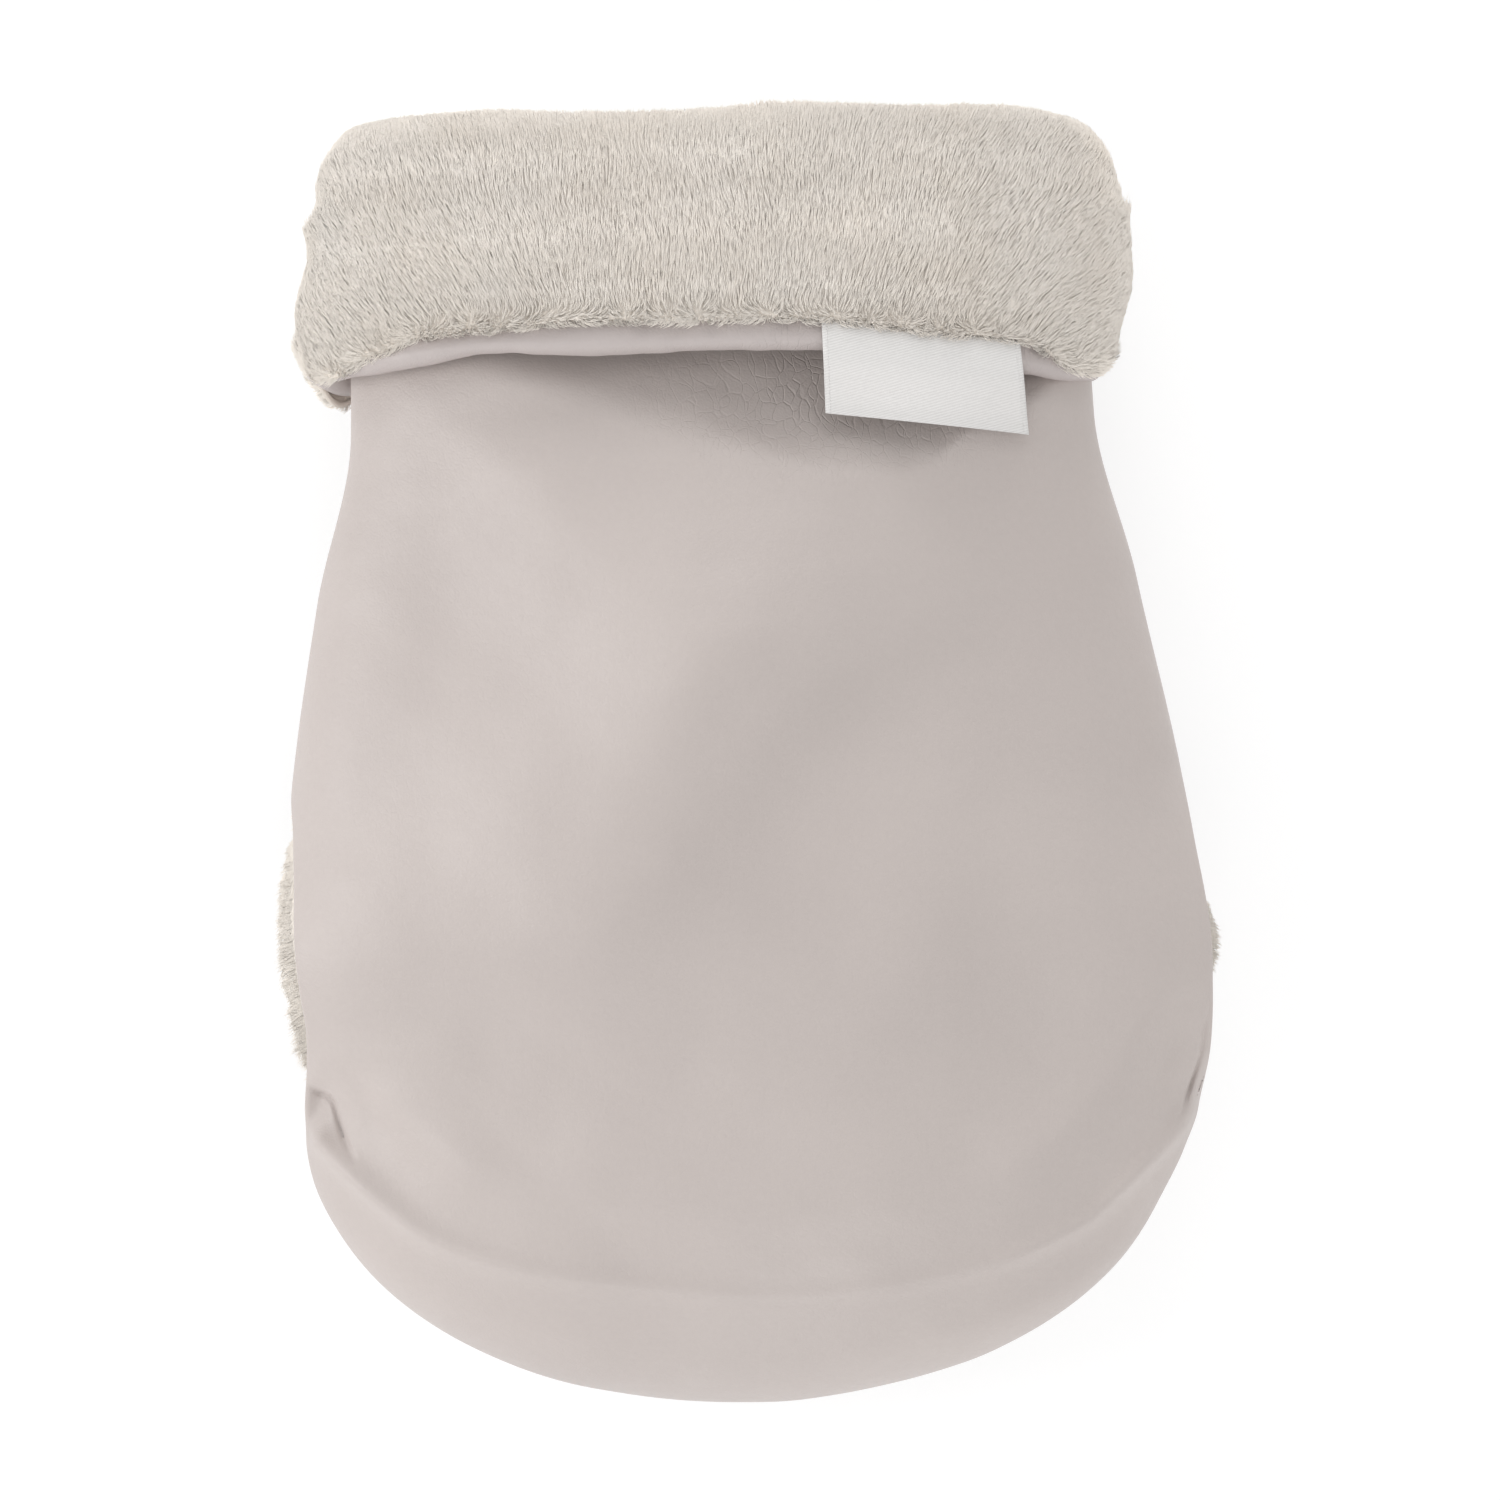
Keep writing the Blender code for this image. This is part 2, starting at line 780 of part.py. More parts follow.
def make_label(folder, satin):
    """A label that lies over the hem and bends down to the pouch; its origin is on its sewn edge."""
    grids = []
    for lift in (label_thickness, 0.0):
        grid = []
        for i in range(label_rows + 1):
            y = label_length * i / label_rows
            xs = [label_width * (j / label_columns - 0.5) for j in range(label_columns + 1)]
            grid.append([label_place(x, y, lift) for x in xs])
        grids.append(grid)
    made = loft("woven_label", grids[0], grids[1], satin, folder)
    hinge = world(label_place(0.0, 0.0, 0.0))
    made.data.transform(Matrix.Translation(-hinge))
    made.location = hinge
    return made


def snap_profiles():
    """The profile of each piece of a press stud, as (radius, forward) points down its outer side."""
    rim = cap_height / 3
    head = socket_base + socket_floor + clearance
    cap = [
        (0.0, head + rivet_head_height),
        (rivet_head_radius, head + rivet_head_height),
        (rivet_head_radius, head),
        (rivet_radius, head),
        (rivet_radius, cap_top),
        (cap_radius, cap_top),
        (cap_radius, cap_top - rim),
        (cap_radius / 2, cap_top - cap_height),
        (0.0, cap_top - cap_height),
    ]
    mouth = stud_base - clearance
    socket = [
        (hole_radius, socket_base + socket_floor),
        (socket_bore_radius, socket_base + socket_floor),
        (socket_bore_radius, mouth),
        (socket_radius - rim, mouth),
        (socket_radius, mouth - rim),
        (socket_radius, socket_base),
        (hole_radius, socket_base),
        (hole_radius, socket_base + socket_floor),
    ]
    inside = upper_back_face + skin + clearance + skin + clearance
    base_top = stud_base + stud_base_height
    stud = [
        (0.0, stud_tip + stud_base_height),
        (hole_radius, stud_tip + stud_base_height),
        (hole_radius, base_top),
        (stud_base_radius, base_top),
        (stud_base_radius, stud_base),
        (stud_neck_radius, stud_base),
        (stud_head_radius, stud_tip + rim),
        (stud_neck_radius, stud_tip),
        (0.0, stud_tip),
    ]
    post = [
        (0.0, inside + post_height),
        (post_radius - rim, inside + post_height),
        (post_radius, inside + post_height - rim),
        (post_radius, inside),
        (rivet_radius, inside),
        (rivet_radius, stud_tip + stud_base_height + clearance),
        (0.0, stud_tip + stud_base_height + clearance),
    ]
    return {"snap_cap": cap, "snap_socket": socket, "snap_stud": stud, "snap_post": post}


def make_snaps(folder, metal):
    """The press studs; returns the caps and sockets, which the flap carries."""
    carried = []
    for name, profile in snap_profiles().items():
        for i in range(stud_count):
            made = turned(f"{name}_{i + 1}", profile, (stud_across(i), stud_height), metal, folder)
            if name in ("snap_cap", "snap_socket"):
                carried.append(made)
    return carried


def stud_across(i):
    """Where press stud i lies, counted from the left; all of them are on the back's flat."""
    spacing = stud_spacing_share * (half_width(stud_height) - back_corner)
    return (i - (stud_count - 1) / 2) * spacing


def cut_holes(pieces, folder):
    """The holes that the press studs' rivets pass through."""
    reach = upper_back_face + stack
    for i in range(stud_count):
        bm = bmesh.new()
        bmesh.ops.create_cone(
            bm,
            cap_ends=True,
            segments=round_segments,
            radius1=hole_radius,
            radius2=hole_radius,
            depth=2 * reach,
        )
        cutter = add_object(f"rivet_hole_{i + 1}", bm, pieces[0].data.materials[0], folder)
        cutter.location = world((stud_across(i), stud_height, 0.0))
        cutter.hide_render = True
        cutter.display_type = "WIRE"
        for piece in pieces:
            cut = piece.modifiers.new(f"Rivet hole {i + 1}", "BOOLEAN")
            cut.operation = "DIFFERENCE"
            cut.object = cutter


def main():
    for old in list(bpy.data.objects):
        bpy.data.objects.remove(old)
    muff = collection("stroller_hand_muff")
    cutters = collection("cutters")
    leatherette = material("leatherette", (0.60, 0.545, 0.52), 0.50)
    plush = material("plush", (0.70, 0.66, 0.60), 0.95)
    padding = material("padding", (0.85, 0.85, 0.84), 1.0)
    satin = material("satin", (0.78, 0.77, 0.78), 0.45)
    metal = material("snap_metal", (0.62, 0.61, 0.60), 0.30, 1.0)
    make_front(muff, leatherette, padding, plush)
    upper = make_upper_back(muff, leatherette, padding, plush)
    make_toe_back(muff, leatherette, padding, plush)
    closing = make_flap(muff, leatherette, padding, plush)
    make_cuff(muff, leatherette, padding, plush)
    make_label(muff, satin)
    sewn_on = make_snaps(muff, metal)
    carry(make_flap_hinge(muff), [*closing.values(), *sewn_on])
    cut_holes(
        [
            upper["outer_back_panel"],
            upper["back_hem_facing"],
            closing["flap_outer"],
            closing["flap_hem_facing"],
        ],
        cutters,
    )


main()
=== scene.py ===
"""Looks of the stroller hand muff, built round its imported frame.

The frame's terms: metres, X across the muff, +Y towards the turned-down cuff, +Z out of the front, and
the muff lies on its back on z = 0. A height h runs along the muff from the tip of the toe, y = h - MID.
"""

import math

import bpy
import numpy as np
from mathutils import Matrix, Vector


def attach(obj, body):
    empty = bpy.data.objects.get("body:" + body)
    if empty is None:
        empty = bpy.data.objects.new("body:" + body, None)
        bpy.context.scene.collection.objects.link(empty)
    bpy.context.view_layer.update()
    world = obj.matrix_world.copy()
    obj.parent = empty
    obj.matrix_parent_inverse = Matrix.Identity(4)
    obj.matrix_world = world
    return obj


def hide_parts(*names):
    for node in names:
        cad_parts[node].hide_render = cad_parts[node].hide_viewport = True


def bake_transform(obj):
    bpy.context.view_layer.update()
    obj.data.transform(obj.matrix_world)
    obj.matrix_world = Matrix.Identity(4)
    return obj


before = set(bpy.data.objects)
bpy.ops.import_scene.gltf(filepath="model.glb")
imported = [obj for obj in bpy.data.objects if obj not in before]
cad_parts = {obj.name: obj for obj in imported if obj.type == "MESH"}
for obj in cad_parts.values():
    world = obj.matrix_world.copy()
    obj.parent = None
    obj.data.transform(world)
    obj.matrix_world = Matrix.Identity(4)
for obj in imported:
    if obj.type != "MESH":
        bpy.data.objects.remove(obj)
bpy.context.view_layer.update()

# The muff's driving sizes, as in its CAD. Half widths are across the muff, levels above the floor.

LENGTH = 0.448
MID = LENGTH / 2
TOE, TOE_HALF = 0.098, 0.153
BELLY, BELLY_HALF = 0.165, 0.1585
TOE_SEAM, TIP_DROP, TOE_TOP = 0.048, 0.018, 0.105
BACK_CORNER = 0.065
FULLNESS = 2.4
SKIN, WADDING, GAP = 0.0013, 0.0050, 0.0003
SHELL = SKIN + GAP + WADDING
ROLL_START, CUFF_LOW, CUFF_OUT = 0.430, 0.361, 0.0146
HEM_HEIGHT = 0.009
# The upper ends of the side slits and of the flap's tab, copied from what the CAD works out
SLIT_TOP, TAB_END = 0.2186067, 0.2486067
SLIT_GAPE = 0.029
FLAP_END, TAB_HALF = 0.210, 0.088
UPPER_FACE, TAB_FACE = 0.0098, 0.0019
LIP_HEIGHT, LIP_START, LIP_END = 0.027, FLAP_END - 0.018, FLAP_END + 0.009
LABEL_W, LABEL_L = 0.070, 0.031

WIDTHS = [
    (TOE, TOE_HALF), (BELLY, BELLY_HALF), (0.281, 0.14075), (0.338, 0.128), (0.410, 0.12625),
    (ROLL_START, 0.1215),
]
SEAMS = [(TOE, TOE_SEAM), (BELLY, 0.050), (0.338, 0.055)]
CROWNS = [(TOE, 0.057), (BELLY, 0.060), (0.338, 0.042), (ROLL_START, 0.041)]


# Curves and fields


def curve(stations, at):
    """A smooth curve through (place, value) stations, level at its ends and at each peak."""
    xs, ys = np.array(sorted(stations), float).T
    run = np.diff(xs)
    grade = np.diff(ys) / run
    slope = np.zeros(len(xs))
    same = grade[:-1] * grade[1:] > 0
    slope[1:-1][same] = 2 * (grade[:-1] * grade[1:])[same] / (grade[:-1] + grade[1:])[same]
    at = np.clip(np.asarray(at, float), xs[0], xs[-1])
    i = np.clip(np.searchsorted(xs, at) - 1, 0, len(xs) - 2)
    u = (at - xs[i]) / run[i]
    return (
        (2 * u**3 - 3 * u**2 + 1) * ys[i]
        + (u**3 - 2 * u**2 + u) * run[i] * slope[i]
        + (3 * u**2 - 2 * u**3) * ys[i + 1]
        + (u**3 - u**2) * run[i] * slope[i + 1]
    )


def step(low, high, at):
    """0 below low, 1 above high and smooth between."""
    u = np.clip((np.asarray(at, float) - low) / (high - low), 0, 1)
    return u * u * (3 - 2 * u)


def hump(middle, half, at):
    """1 at the middle, falling smoothly to 0 at this distance from it."""
    return np.clip(1 - ((np.asarray(at, float) - middle) / half) ** 2, 0, None) ** 2


def ripple(points, length, seed, waves=7):
    """Smooth uneven waves over points, about -1 to 1, of about this wavelength."""
    made = np.random.default_rng(seed)
    total = np.zeros(points.shape[:-1])
    for _ in range(waves):
        turn = made.normal(size=points.shape[-1])
        turn *= 2 * math.pi / (length * made.uniform(0.7, 1.6) * np.linalg.norm(turn))
        total += np.sin(points @ turn + made.uniform(0, 2 * math.pi))
    return total / math.sqrt(waves)


def beside(places, line, fine=48):
    """Signed distance of places to a line, positive on the left of its course, and the share along it."""
    line = np.array(line, float)
    run = np.r_[0, np.cumsum(np.linalg.norm(np.diff(line, axis=0), axis=1))]
    shares = np.linspace(0, run[-1], fine)
    line = np.stack([curve(list(zip(run, line[:, k])), shares) for k in (0, 1)], -1)
    best = np.full(places.shape[:-1], 1e9)
    signed, share = np.zeros_like(best), np.zeros_like(best)
    for i in range(fine - 1):
        a, d = line[i], line[i + 1] - line[i]
        rel = places - a
        u = np.clip((rel @ d) / (d @ d), 0, 1)
        off = rel - u[..., None] * d
        far = np.linalg.norm(off, axis=-1)
        near = far < best
        side = np.where(d[0] * rel[..., 1] - d[1] * rel[..., 0] >= 0, 1.0, -1.0)
        best = np.where(near, far, best)
        signed = np.where(near, far * side, signed)
        share = np.where(near, (i + u) / (fine - 1), share)
    return signed, share


# A place inside the muff, away from which its faces look
MIDDLE = np.array([0, 0, 0.05])

# Shapes of the muff, as grids of (x, y, z) and each place's distance in from the sewn edge


def half_width(h):
    return curve(WIDTHS, h)


def seam(h):
    return curve(SEAMS, h)


def crown(h):
    return curve(CROWNS, h)


def gape(h):
    """How far a side slit stands open."""
    share = (h - TOE) / (SLIT_TOP - TOE)
    return np.where((share > 0) & (share < 1), SLIT_GAPE * np.sin(math.pi * np.clip(share, 0, 1)), 0.0)


def upper_face(h):
    """The upper back's level, which leaves room for the cuff underneath."""
    return curve([(TAB_END, UPPER_FACE), (CUFF_LOW, CUFF_OUT + 0.0008)], h)


def even(rows, columns, crowd=0.6):
    """Each row of points laid out again along its own length, closer together near its ends."""
    q = np.linspace(0, 1, columns)
    shares = (1 - crowd) * q + crowd * (0.5 - 0.5 * np.cos(math.pi * q))
    out = np.empty((len(rows), columns, rows.shape[-1]))
    for i, row in enumerate(rows):
        run = np.r_[0, np.cumsum(np.linalg.norm(np.diff(row[:, :3], axis=0), axis=1))]
        for k in range(rows.shape[-1]):
            out[i, :, k] = np.interp(shares * run[-1], run, row[:, k])
    return out


def laid(x, h, z, inside):
    return np.stack([x, np.broadcast_to(h, x.shape) - MID, z, inside], -1)


def corner(inward):
    """The rise of the back's rounded corner this far in from the seam: 1 at the seam, 0 on the flat."""
    return 1 - np.sqrt(np.clip(1 - np.clip(1 - inward / BACK_CORNER, 0, 1) ** 2, 0, 1))


def front_side(heights, w):
    """The front's outer face above the toe, at shares w across it."""
    h = np.array(heights)[:, None]
    first = np.arcsin(np.minimum(0.9, gape(h) / crown(h)))
    angle = first + (math.pi / 2 - first) * (1 - np.abs(w))
    reach = (np.clip(np.cos(angle), 0, None) / np.cos(first)) ** (2 / FULLNESS)
    x = np.sign(w) * half_width(h) * reach
    z = seam(h) + crown(h) * np.sin(angle)
    edge_z = seam(h) + gape(h)
    return laid(x, h, z, np.hypot((1 - reach) * half_width(h), z - edge_z))


def toe_plan(turns, w, across):
    """The toe seen from above: x, height, share of the way out, the seam's level and the whole way out."""
    t = np.array(turns)[:, None]
    x = np.sign(w) * TOE_HALF * np.cos(t) * across
    h = TOE * (1 - np.sin(t))
    far = np.sqrt((across * np.cos(t)) ** 2 + np.sin(t) ** 2)
    low = TOE_SEAM - TIP_DROP * (np.sin(t) / np.maximum(far, 1e-9)) ** 2
    return x, h, far, low, np.hypot(x, h - TOE) / np.maximum(far, 1e-9)


def front_rows(heights, turns, fine=401):
    """The front's outer face as rows from its left edge to its right: the sides, then the toe."""
    w = np.linspace(-1, 1, fine)[None, :]
    across = np.clip(np.cos(math.pi / 2 * (1 - np.abs(w))), 0, None) ** (2 / FULLNESS)
    x, h, far, low, radius = toe_plan(turns, w, across)
    z = low + (TOE_TOP - low) * np.sqrt(np.clip(1 - far**FULLNESS, 0, None))
    toe = laid(x, h, z, np.hypot((1 - far) * radius, z - low))
    return np.concatenate([front_side(heights, w), toe])


def toe_back_rows(turns, fine=401):
    """The toe's underside from the fold line to the tip."""
    w = np.linspace(-1, 1, fine)[None, :]
    x, h, far, low, radius = toe_plan(turns, w, np.sin(math.pi / 2 * np.abs(w)))
    inward = (1 - far) * radius
    z = low * corner(inward)
    return laid(x, h, z, np.hypot(inward, low - z))


def back_rows(heights, fine=401):
    """The upper back's outer face, left seam to right seam."""
    w = np.linspace(-1, 1, fine)[None, :]
    h = np.array(heights)[:, None]
    hw, low, face = half_width(h), seam(h), upper_face(h)
    inward = hw * (1 - np.sin(math.pi / 2 * np.abs(w)))
    x = np.sign(w) * (hw - inward)
    z = face + (low - face) * corner(inward)
    return laid(x, h, z, np.hypot(inward, low - z))


def flap_flat(h):
    """The level of the flap's flat face."""
    return curve([(LIP_START, 0.0), (FLAP_END + 0.018, TAB_FACE)], h)


def flap_lip(h):
    """How high the flap's side lips turn up."""
    return curve([(TOE, LIP_HEIGHT), (LIP_START, LIP_HEIGHT), (LIP_END, 0.0)], h)


def lip_reach(h):
    """The share of the back's rounded corner that a lip covers."""
    rise = flap_lip(h) / (seam(h) - flap_flat(h))
    return np.sqrt(np.clip(1 - (1 - rise) ** 2, 0, 1))


def flap_edge(h):
    """The flap's half width: rounded sides, then the narrower tab."""
    lip = float(lip_reach(np.array([TOE]))[0])
    return curve(
        [
            (TOE, TOE_HALF - BACK_CORNER * (1 - lip)),
            (BELLY, BELLY_HALF + 0.0005),
            (FLAP_END - 0.009, float(half_width(FLAP_END))),
            (LIP_END, TAB_HALF),
            (TAB_END - 0.012, TAB_HALF),
            (TAB_END, TAB_HALF - 0.006),
        ],
        h,
    )


def flap_rows(heights, fine=401):
    """The closure flap's outer face, left edge to right edge."""
    c = np.linspace(-1, 1, fine)[None, :]
    h = np.array(heights)[:, None]
    edge = flap_edge(h)
    x = c * edge
    over = np.clip(np.abs(x) - (edge - lip_reach(h) * BACK_CORNER), 0, None) / BACK_CORNER
    low = flap_flat(h)
    z = low + (seam(h) - low) * (1 - np.sqrt(np.clip(1 - over**2, 0, 1)))
    return laid(x, h, z, edge - np.abs(x))


def normals(points, closed=False):
    """Unit normals of a grid of points, away from the muff's inside."""
    if closed:
        wide = np.concatenate([points[:, -1:], points, points[:, :1]], 1)
        over = np.gradient(wide, axis=1)[:, 1:-1]
    else:
        over = np.gradient(points, axis=1)
    along = np.gradient(points, axis=0)
    made = np.cross(along, over)
    made /= np.maximum(np.linalg.norm(made, axis=-1, keepdims=True), 1e-12)
    outside = points - MIDDLE
    outside[..., 1] = 0
    if (made * outside).sum() < 0:
        made = -made
    return made


# How the muff really lies: uneven sides, a drooping cuff and soft folds

# Stations of (y, sideways move); the last list is for the front alone, beside its left slit
LEFT_SIDE = [
    (-0.224, 0.0), (-0.185, 0.0012), (-0.160, 0.0018), (-0.14, 0.0010), (-0.126, 0.0008),
    (-0.09, 0.002), (-0.03, 0.001), (0.05, -0.001), (0.12, 0.0), (0.224, 0.0),
]
RIGHT_SIDE = [
    (-0.224, 0.0), (-0.185, -0.0016), (-0.158, -0.0034), (-0.14, -0.0008), (-0.126, 0.003), (-0.105, 0.0062),
    (-0.075, 0.0036), (-0.03, 0.0), (0.05, 0.0), (0.12, 0.0), (0.224, 0.0),
]
LEFT_IN = [
    (-0.118, 0.0), (-0.100, 0.0025), (-0.085, 0.0044), (-0.045, 0.0042), (-0.022, 0.0022), (-0.006, 0.0)
]


def settled(points):
    """The sides moved to where they lie, the middle left as it is."""
    out = points.copy()
    x, y = points[..., 0], points[..., 1]
    reach = step(0.06, 0.125, np.abs(x))
    out[..., 0] += reach * np.where(x < 0, curve(LEFT_SIDE, y), curve(RIGHT_SIDE, y))
    out[..., 1] -= 0.0001 * (1 - step(-0.224, -0.190, y))
    return out


# Lines in (x, y): the ridge over the toe and the tuck at each of its ends
RIDGE = [
    (-0.147, -0.1276), (-0.1367, -0.138), (-0.1293, -0.1451), (-0.121, -0.152), (-0.1058, -0.1622),
    (-0.080, -0.171), (-0.0524, -0.1765), (0.0164, -0.1844), (0.051, -0.1815), (0.081, -0.176),
    (0.1015, -0.1684), (0.1173, -0.161), (0.1365, -0.1434), (0.1493, -0.1317), (0.1598, -0.1111),
]
LEFT_TUCK = [
    (-0.1560, -0.1035), (-0.1500, -0.1072), (-0.1410, -0.1122),
    (-0.1374, -0.1235), (-0.1345, -0.1295), (-0.1322, -0.1350),
]
RIGHT_TUCK = [
    (0.1590, -0.0900), (0.1570, -0.0975), (0.1562, -0.1037),
    (0.1520, -0.1160), (0.1480, -0.1255), (0.1450, -0.1300),
]
# Each tuck: its line, which side of its course looks to the toe, its depth and how far it reaches there
TUCKS = [(LEFT_TUCK, -1, 0.0028, 0.034), (RIGHT_TUCK, 1, 0.0030, 0.030)]
# Heights of the welt and of the hollows above and below it: at the middle, and more at the left and right end
WELT, ABOVE, BELOW = (0.0010, 0.0044, 0.0048), (0.0008, 0.0046, 0.0030), (0.0006, 0.0016, 0.0034)
# Where the front begins to sink towards the cuff, and over what length it turns down, as stations along x
BROW = [
    (-0.125, 0.1360), (-0.087, 0.1330), (-0.0525, 0.1200), (-0.027, 0.1110), (0.009, 0.0990), (0.040, 0.0915),
    (0.060, 0.0915), (0.0735, 0.0965), (0.083, 0.1060), (0.1025, 0.1140), (0.125, 0.1240),
]
BROW_TURN = [(-0.10, 0.013), (-0.02, 0.013), (0.04, 0.006), (0.075, 0.004), (0.11, 0.006)]
SINK_SLOPE, SINK_DEPTH, HOLLOW = 0.50, 0.017, 0.0022
# Each soft fold: the ends of its line, its half-widths on the line's two sides and its heights along it.
# The lines were drawn. A separate program, a least-squares fit to the photo's shading, made the
# half-widths and heights; two heights of the third row from the end were changed by hand after it.
FOLDS = [
    (0.090, 0.096, -0.012, 0.038, 0.0520, 0.0338, -0.0006, 0.0030, 0.0081, 0.0069),
    (-0.012, 0.038, -0.062, -0.036, 0.0520, 0.0386, 0.0076, 0.0058, 0.0050, 0.0024),
    (-0.062, -0.036, -0.090, -0.120, 0.0286, 0.0414, 0.0006, 0.0004, -0.0026, -0.0002),
    (0.125, 0.088, 0.017, 0.018, 0.0519, 0.0161, -0.0018, 0.0011, 0.0043, 0.0047),
    (0.017, 0.018, -0.045, -0.050, 0.0366, 0.0203, 0.0027, 0.0035, 0.0030, 0.0033),
    (-0.150, 0.018, -0.050, -0.090, 0.0398, 0.0198, -0.0018, -0.0002, -0.0021, -0.0017),
    (-0.145, 0.060, -0.064, -0.013, 0.0398, 0.0442, -0.0048, -0.0038, -0.0011, 0.0007),
    (-0.145, -0.059, -0.052, -0.152, 0.0161, 0.0387, -0.0009, -0.0036, -0.0042, -0.0028),
    (0.128, 0.085, 0.148, -0.090, 0.0320, 0.0268, -0.0022, -0.0013, -0.0017, -0.0007),
    (0.097, 0.050, 0.110, -0.071, 0.0488, 0.0351, -0.0026, -0.0024, -0.0017, -0.0037),
    (0.028, -0.044, 0.125, -0.092, 0.0322, 0.0347, -0.0003, 0.0008, -0.0002, -0.0016),
    (0.080, -0.132, 0.152, -0.069, 0.0161, 0.0302, -0.0033, -0.0042, -0.0035, -0.0014),
    (-0.057, 0.100, -0.110, 0.016, 0.0424, 0.0520, 0.0058, 0.0007, -0.0030, -0.0015),
    (0.009, 0.000, 0.014, -0.140, 0.0250, 0.0368, -0.0016, -0.0010, 0.0004, 0.0011),
    (-0.120, 0.100, -0.140, 0.010, 0.0204, 0.0372, -0.0032, -0.0050, -0.0036, -0.0040),
]


def soft_folds(x, y):
    """The broad folds of the front, as heights, that fade at the sides and under the cuff."""
    total = np.zeros_like(x)
    for x0, y0, x1, y1, left, right, *highs in FOLDS:
        dx, dy = x1 - x0, y1 - y0
        run = math.hypot(dx, dy)
        along = ((x - x0) * dx + (y - y0) * dy) / run
        off = ((x - x0) * dy - (y - y0) * dx) / run / np.where((x - x0) * dy > (y - y0) * dx, left, right)
        over = (along - np.clip(along, 0, run)) / (left + right) * 2
        high = curve(list(zip((0, 1 / 3, 2 / 3, 1), highs)), np.clip(along / run, 0, 1))
        total += high * np.exp(-(off**2) - over**2)
    side = step(0.55, 1.0, np.abs(x) / half_width(y + MID))
    return total * (1 - step(0.098, 0.128, y)) * (1 - 0.9 * side)


def sunk(x, y):
    """How far the front sinks from its brow to the cuff's lower edge."""
    past = np.clip(y - curve(BROW, x), 0, None)
    turn = curve(BROW_TURN, x)
    drop = SINK_SLOPE * np.where(past < turn, past**2 / (2 * turn), past - turn / 2)
    drop = SINK_DEPTH * (1 - np.exp(-drop / SINK_DEPTH)) + HOLLOW * np.exp(-(((y - 0.141) / 0.009) ** 2))
    return drop * (1 - step(0.104, 0.126, np.abs(x))) * (1 - step(0.148, 0.188, y))


def ridged(lift, place):
    """These heights with the welt over the toe and the hollows on both sides of it."""
    side, share = beside(place, RIDGE)
    ends = np.abs(2 * share - 1)

    def high(sizes, power):
        middle, left, right = sizes
        return middle + np.where(share > 0.5, right, left) * ends**power

    lift = lift + high(WELT, 1.2) * np.exp(-((side / np.where(side > 0, 0.0048, 0.0028)) ** 2))
    lift -= high(ABOVE, 2) * hump(0.015, 0.017, side)
    return lift - high(BELOW, 1) * hump(-0.009, 0.012, side)


def tucked(lift, place, lead):
    """These heights with both tucks; those of the outer panel also have a sharp fold and a rim."""
    for line, toe_side, depth, wide in TUCKS:
        off, share = beside(place, line)
        below = off * toe_side
        fade = 1 - step(0.60, 1.0, share)
        starts = step(-0.0004 - lead, 0.0009 - 0.4 * lead, below)
        lift = lift - depth * starts * (1 - step(0.002, wide, below)) * fade
        if not lead:
            lift -= 0.0020 * np.exp(-(((below - 0.0010) / 0.0009) ** 2)) * fade
            lift += 0.0016 * hump(-0.0045, 0.007, below) * fade * step(0, 0.15, share)
    return lift


def shaped(grid, lead=0.0):
    """The front as it lies: its sides where they settle, its folds, its tucks and the hollow under the cuff.

    The lining's tucks begin this much before the outer panel's, so that it stays under it.
    """
    face = settled(grid[..., :3])
    inside = step(0, 0.014, grid[..., 3])
    place = face[..., :2]
    x, y = face[..., 0], face[..., 1]
    lift = tucked(ridged(soft_folds(x, y) - sunk(x, y), place), place, lead)
    n = normals(face)
    fine = 0.00040 * ripple(place, 0.060, 11) + 0.00012 * ripple(place, 0.022, 12)
    face = face + n * (fine * inside)[..., None]
    face[..., 2] += lift * inside
    face[..., 0] += step(0.09, 0.145, -x) * curve(LEFT_IN, y)
    return np.concatenate([face, grid[..., 3:]], -1)


# Meshes


def mesh_object(name, verts, quads, material, tris=None, shading=None):
    """An object from arrays of places and faces; shading gives each place's own normal."""
    mesh = bpy.data.meshes.new(name)
    faces = [quads] if tris is None else [quads, tris]
    count = [np.full(len(f), f.shape[1]) for f in faces]
    loops = np.concatenate([f.reshape(-1) for f in faces])
    totals = np.concatenate(count)
    starts = np.r_[0, np.cumsum(totals)[:-1]]
    mesh.vertices.add(len(verts))
    mesh.vertices.foreach_set("co", np.asarray(verts, np.float32).reshape(-1))
    mesh.loops.add(len(loops))
    mesh.loops.foreach_set("vertex_index", loops.astype(np.int32))
    mesh.polygons.add(len(totals))
    mesh.polygons.foreach_set("loop_start", starts.astype(np.int32))
    mesh.polygons.foreach_set("loop_total", totals.astype(np.int32))
    mesh.update(calc_edges=True)
    mesh.validate()
    mesh.shade_smooth()
    if shading is not None:
        mesh.normals_split_custom_set_from_vertices(shading)
    mesh.materials.append(material)
    made = bpy.data.objects.new(name, mesh)
    bpy.context.scene.collection.objects.link(made)
    return made


def patch(rows, columns, start=0, closed=False, flip=False):
    """The quads of one grid of points whose numbers begin at start."""
    wide = columns if closed else columns - 1
    i, j = np.meshgrid(np.arange(rows - 1), np.arange(wide), indexing="ij")
    k = (j + 1) % columns
    quads = np.stack([i * columns + j, i * columns + k, (i + 1) * columns + k, (i + 1) * columns + j], -1)
    quads = quads.reshape(-1, 4) + start
    return quads[:, ::-1] if flip else quads


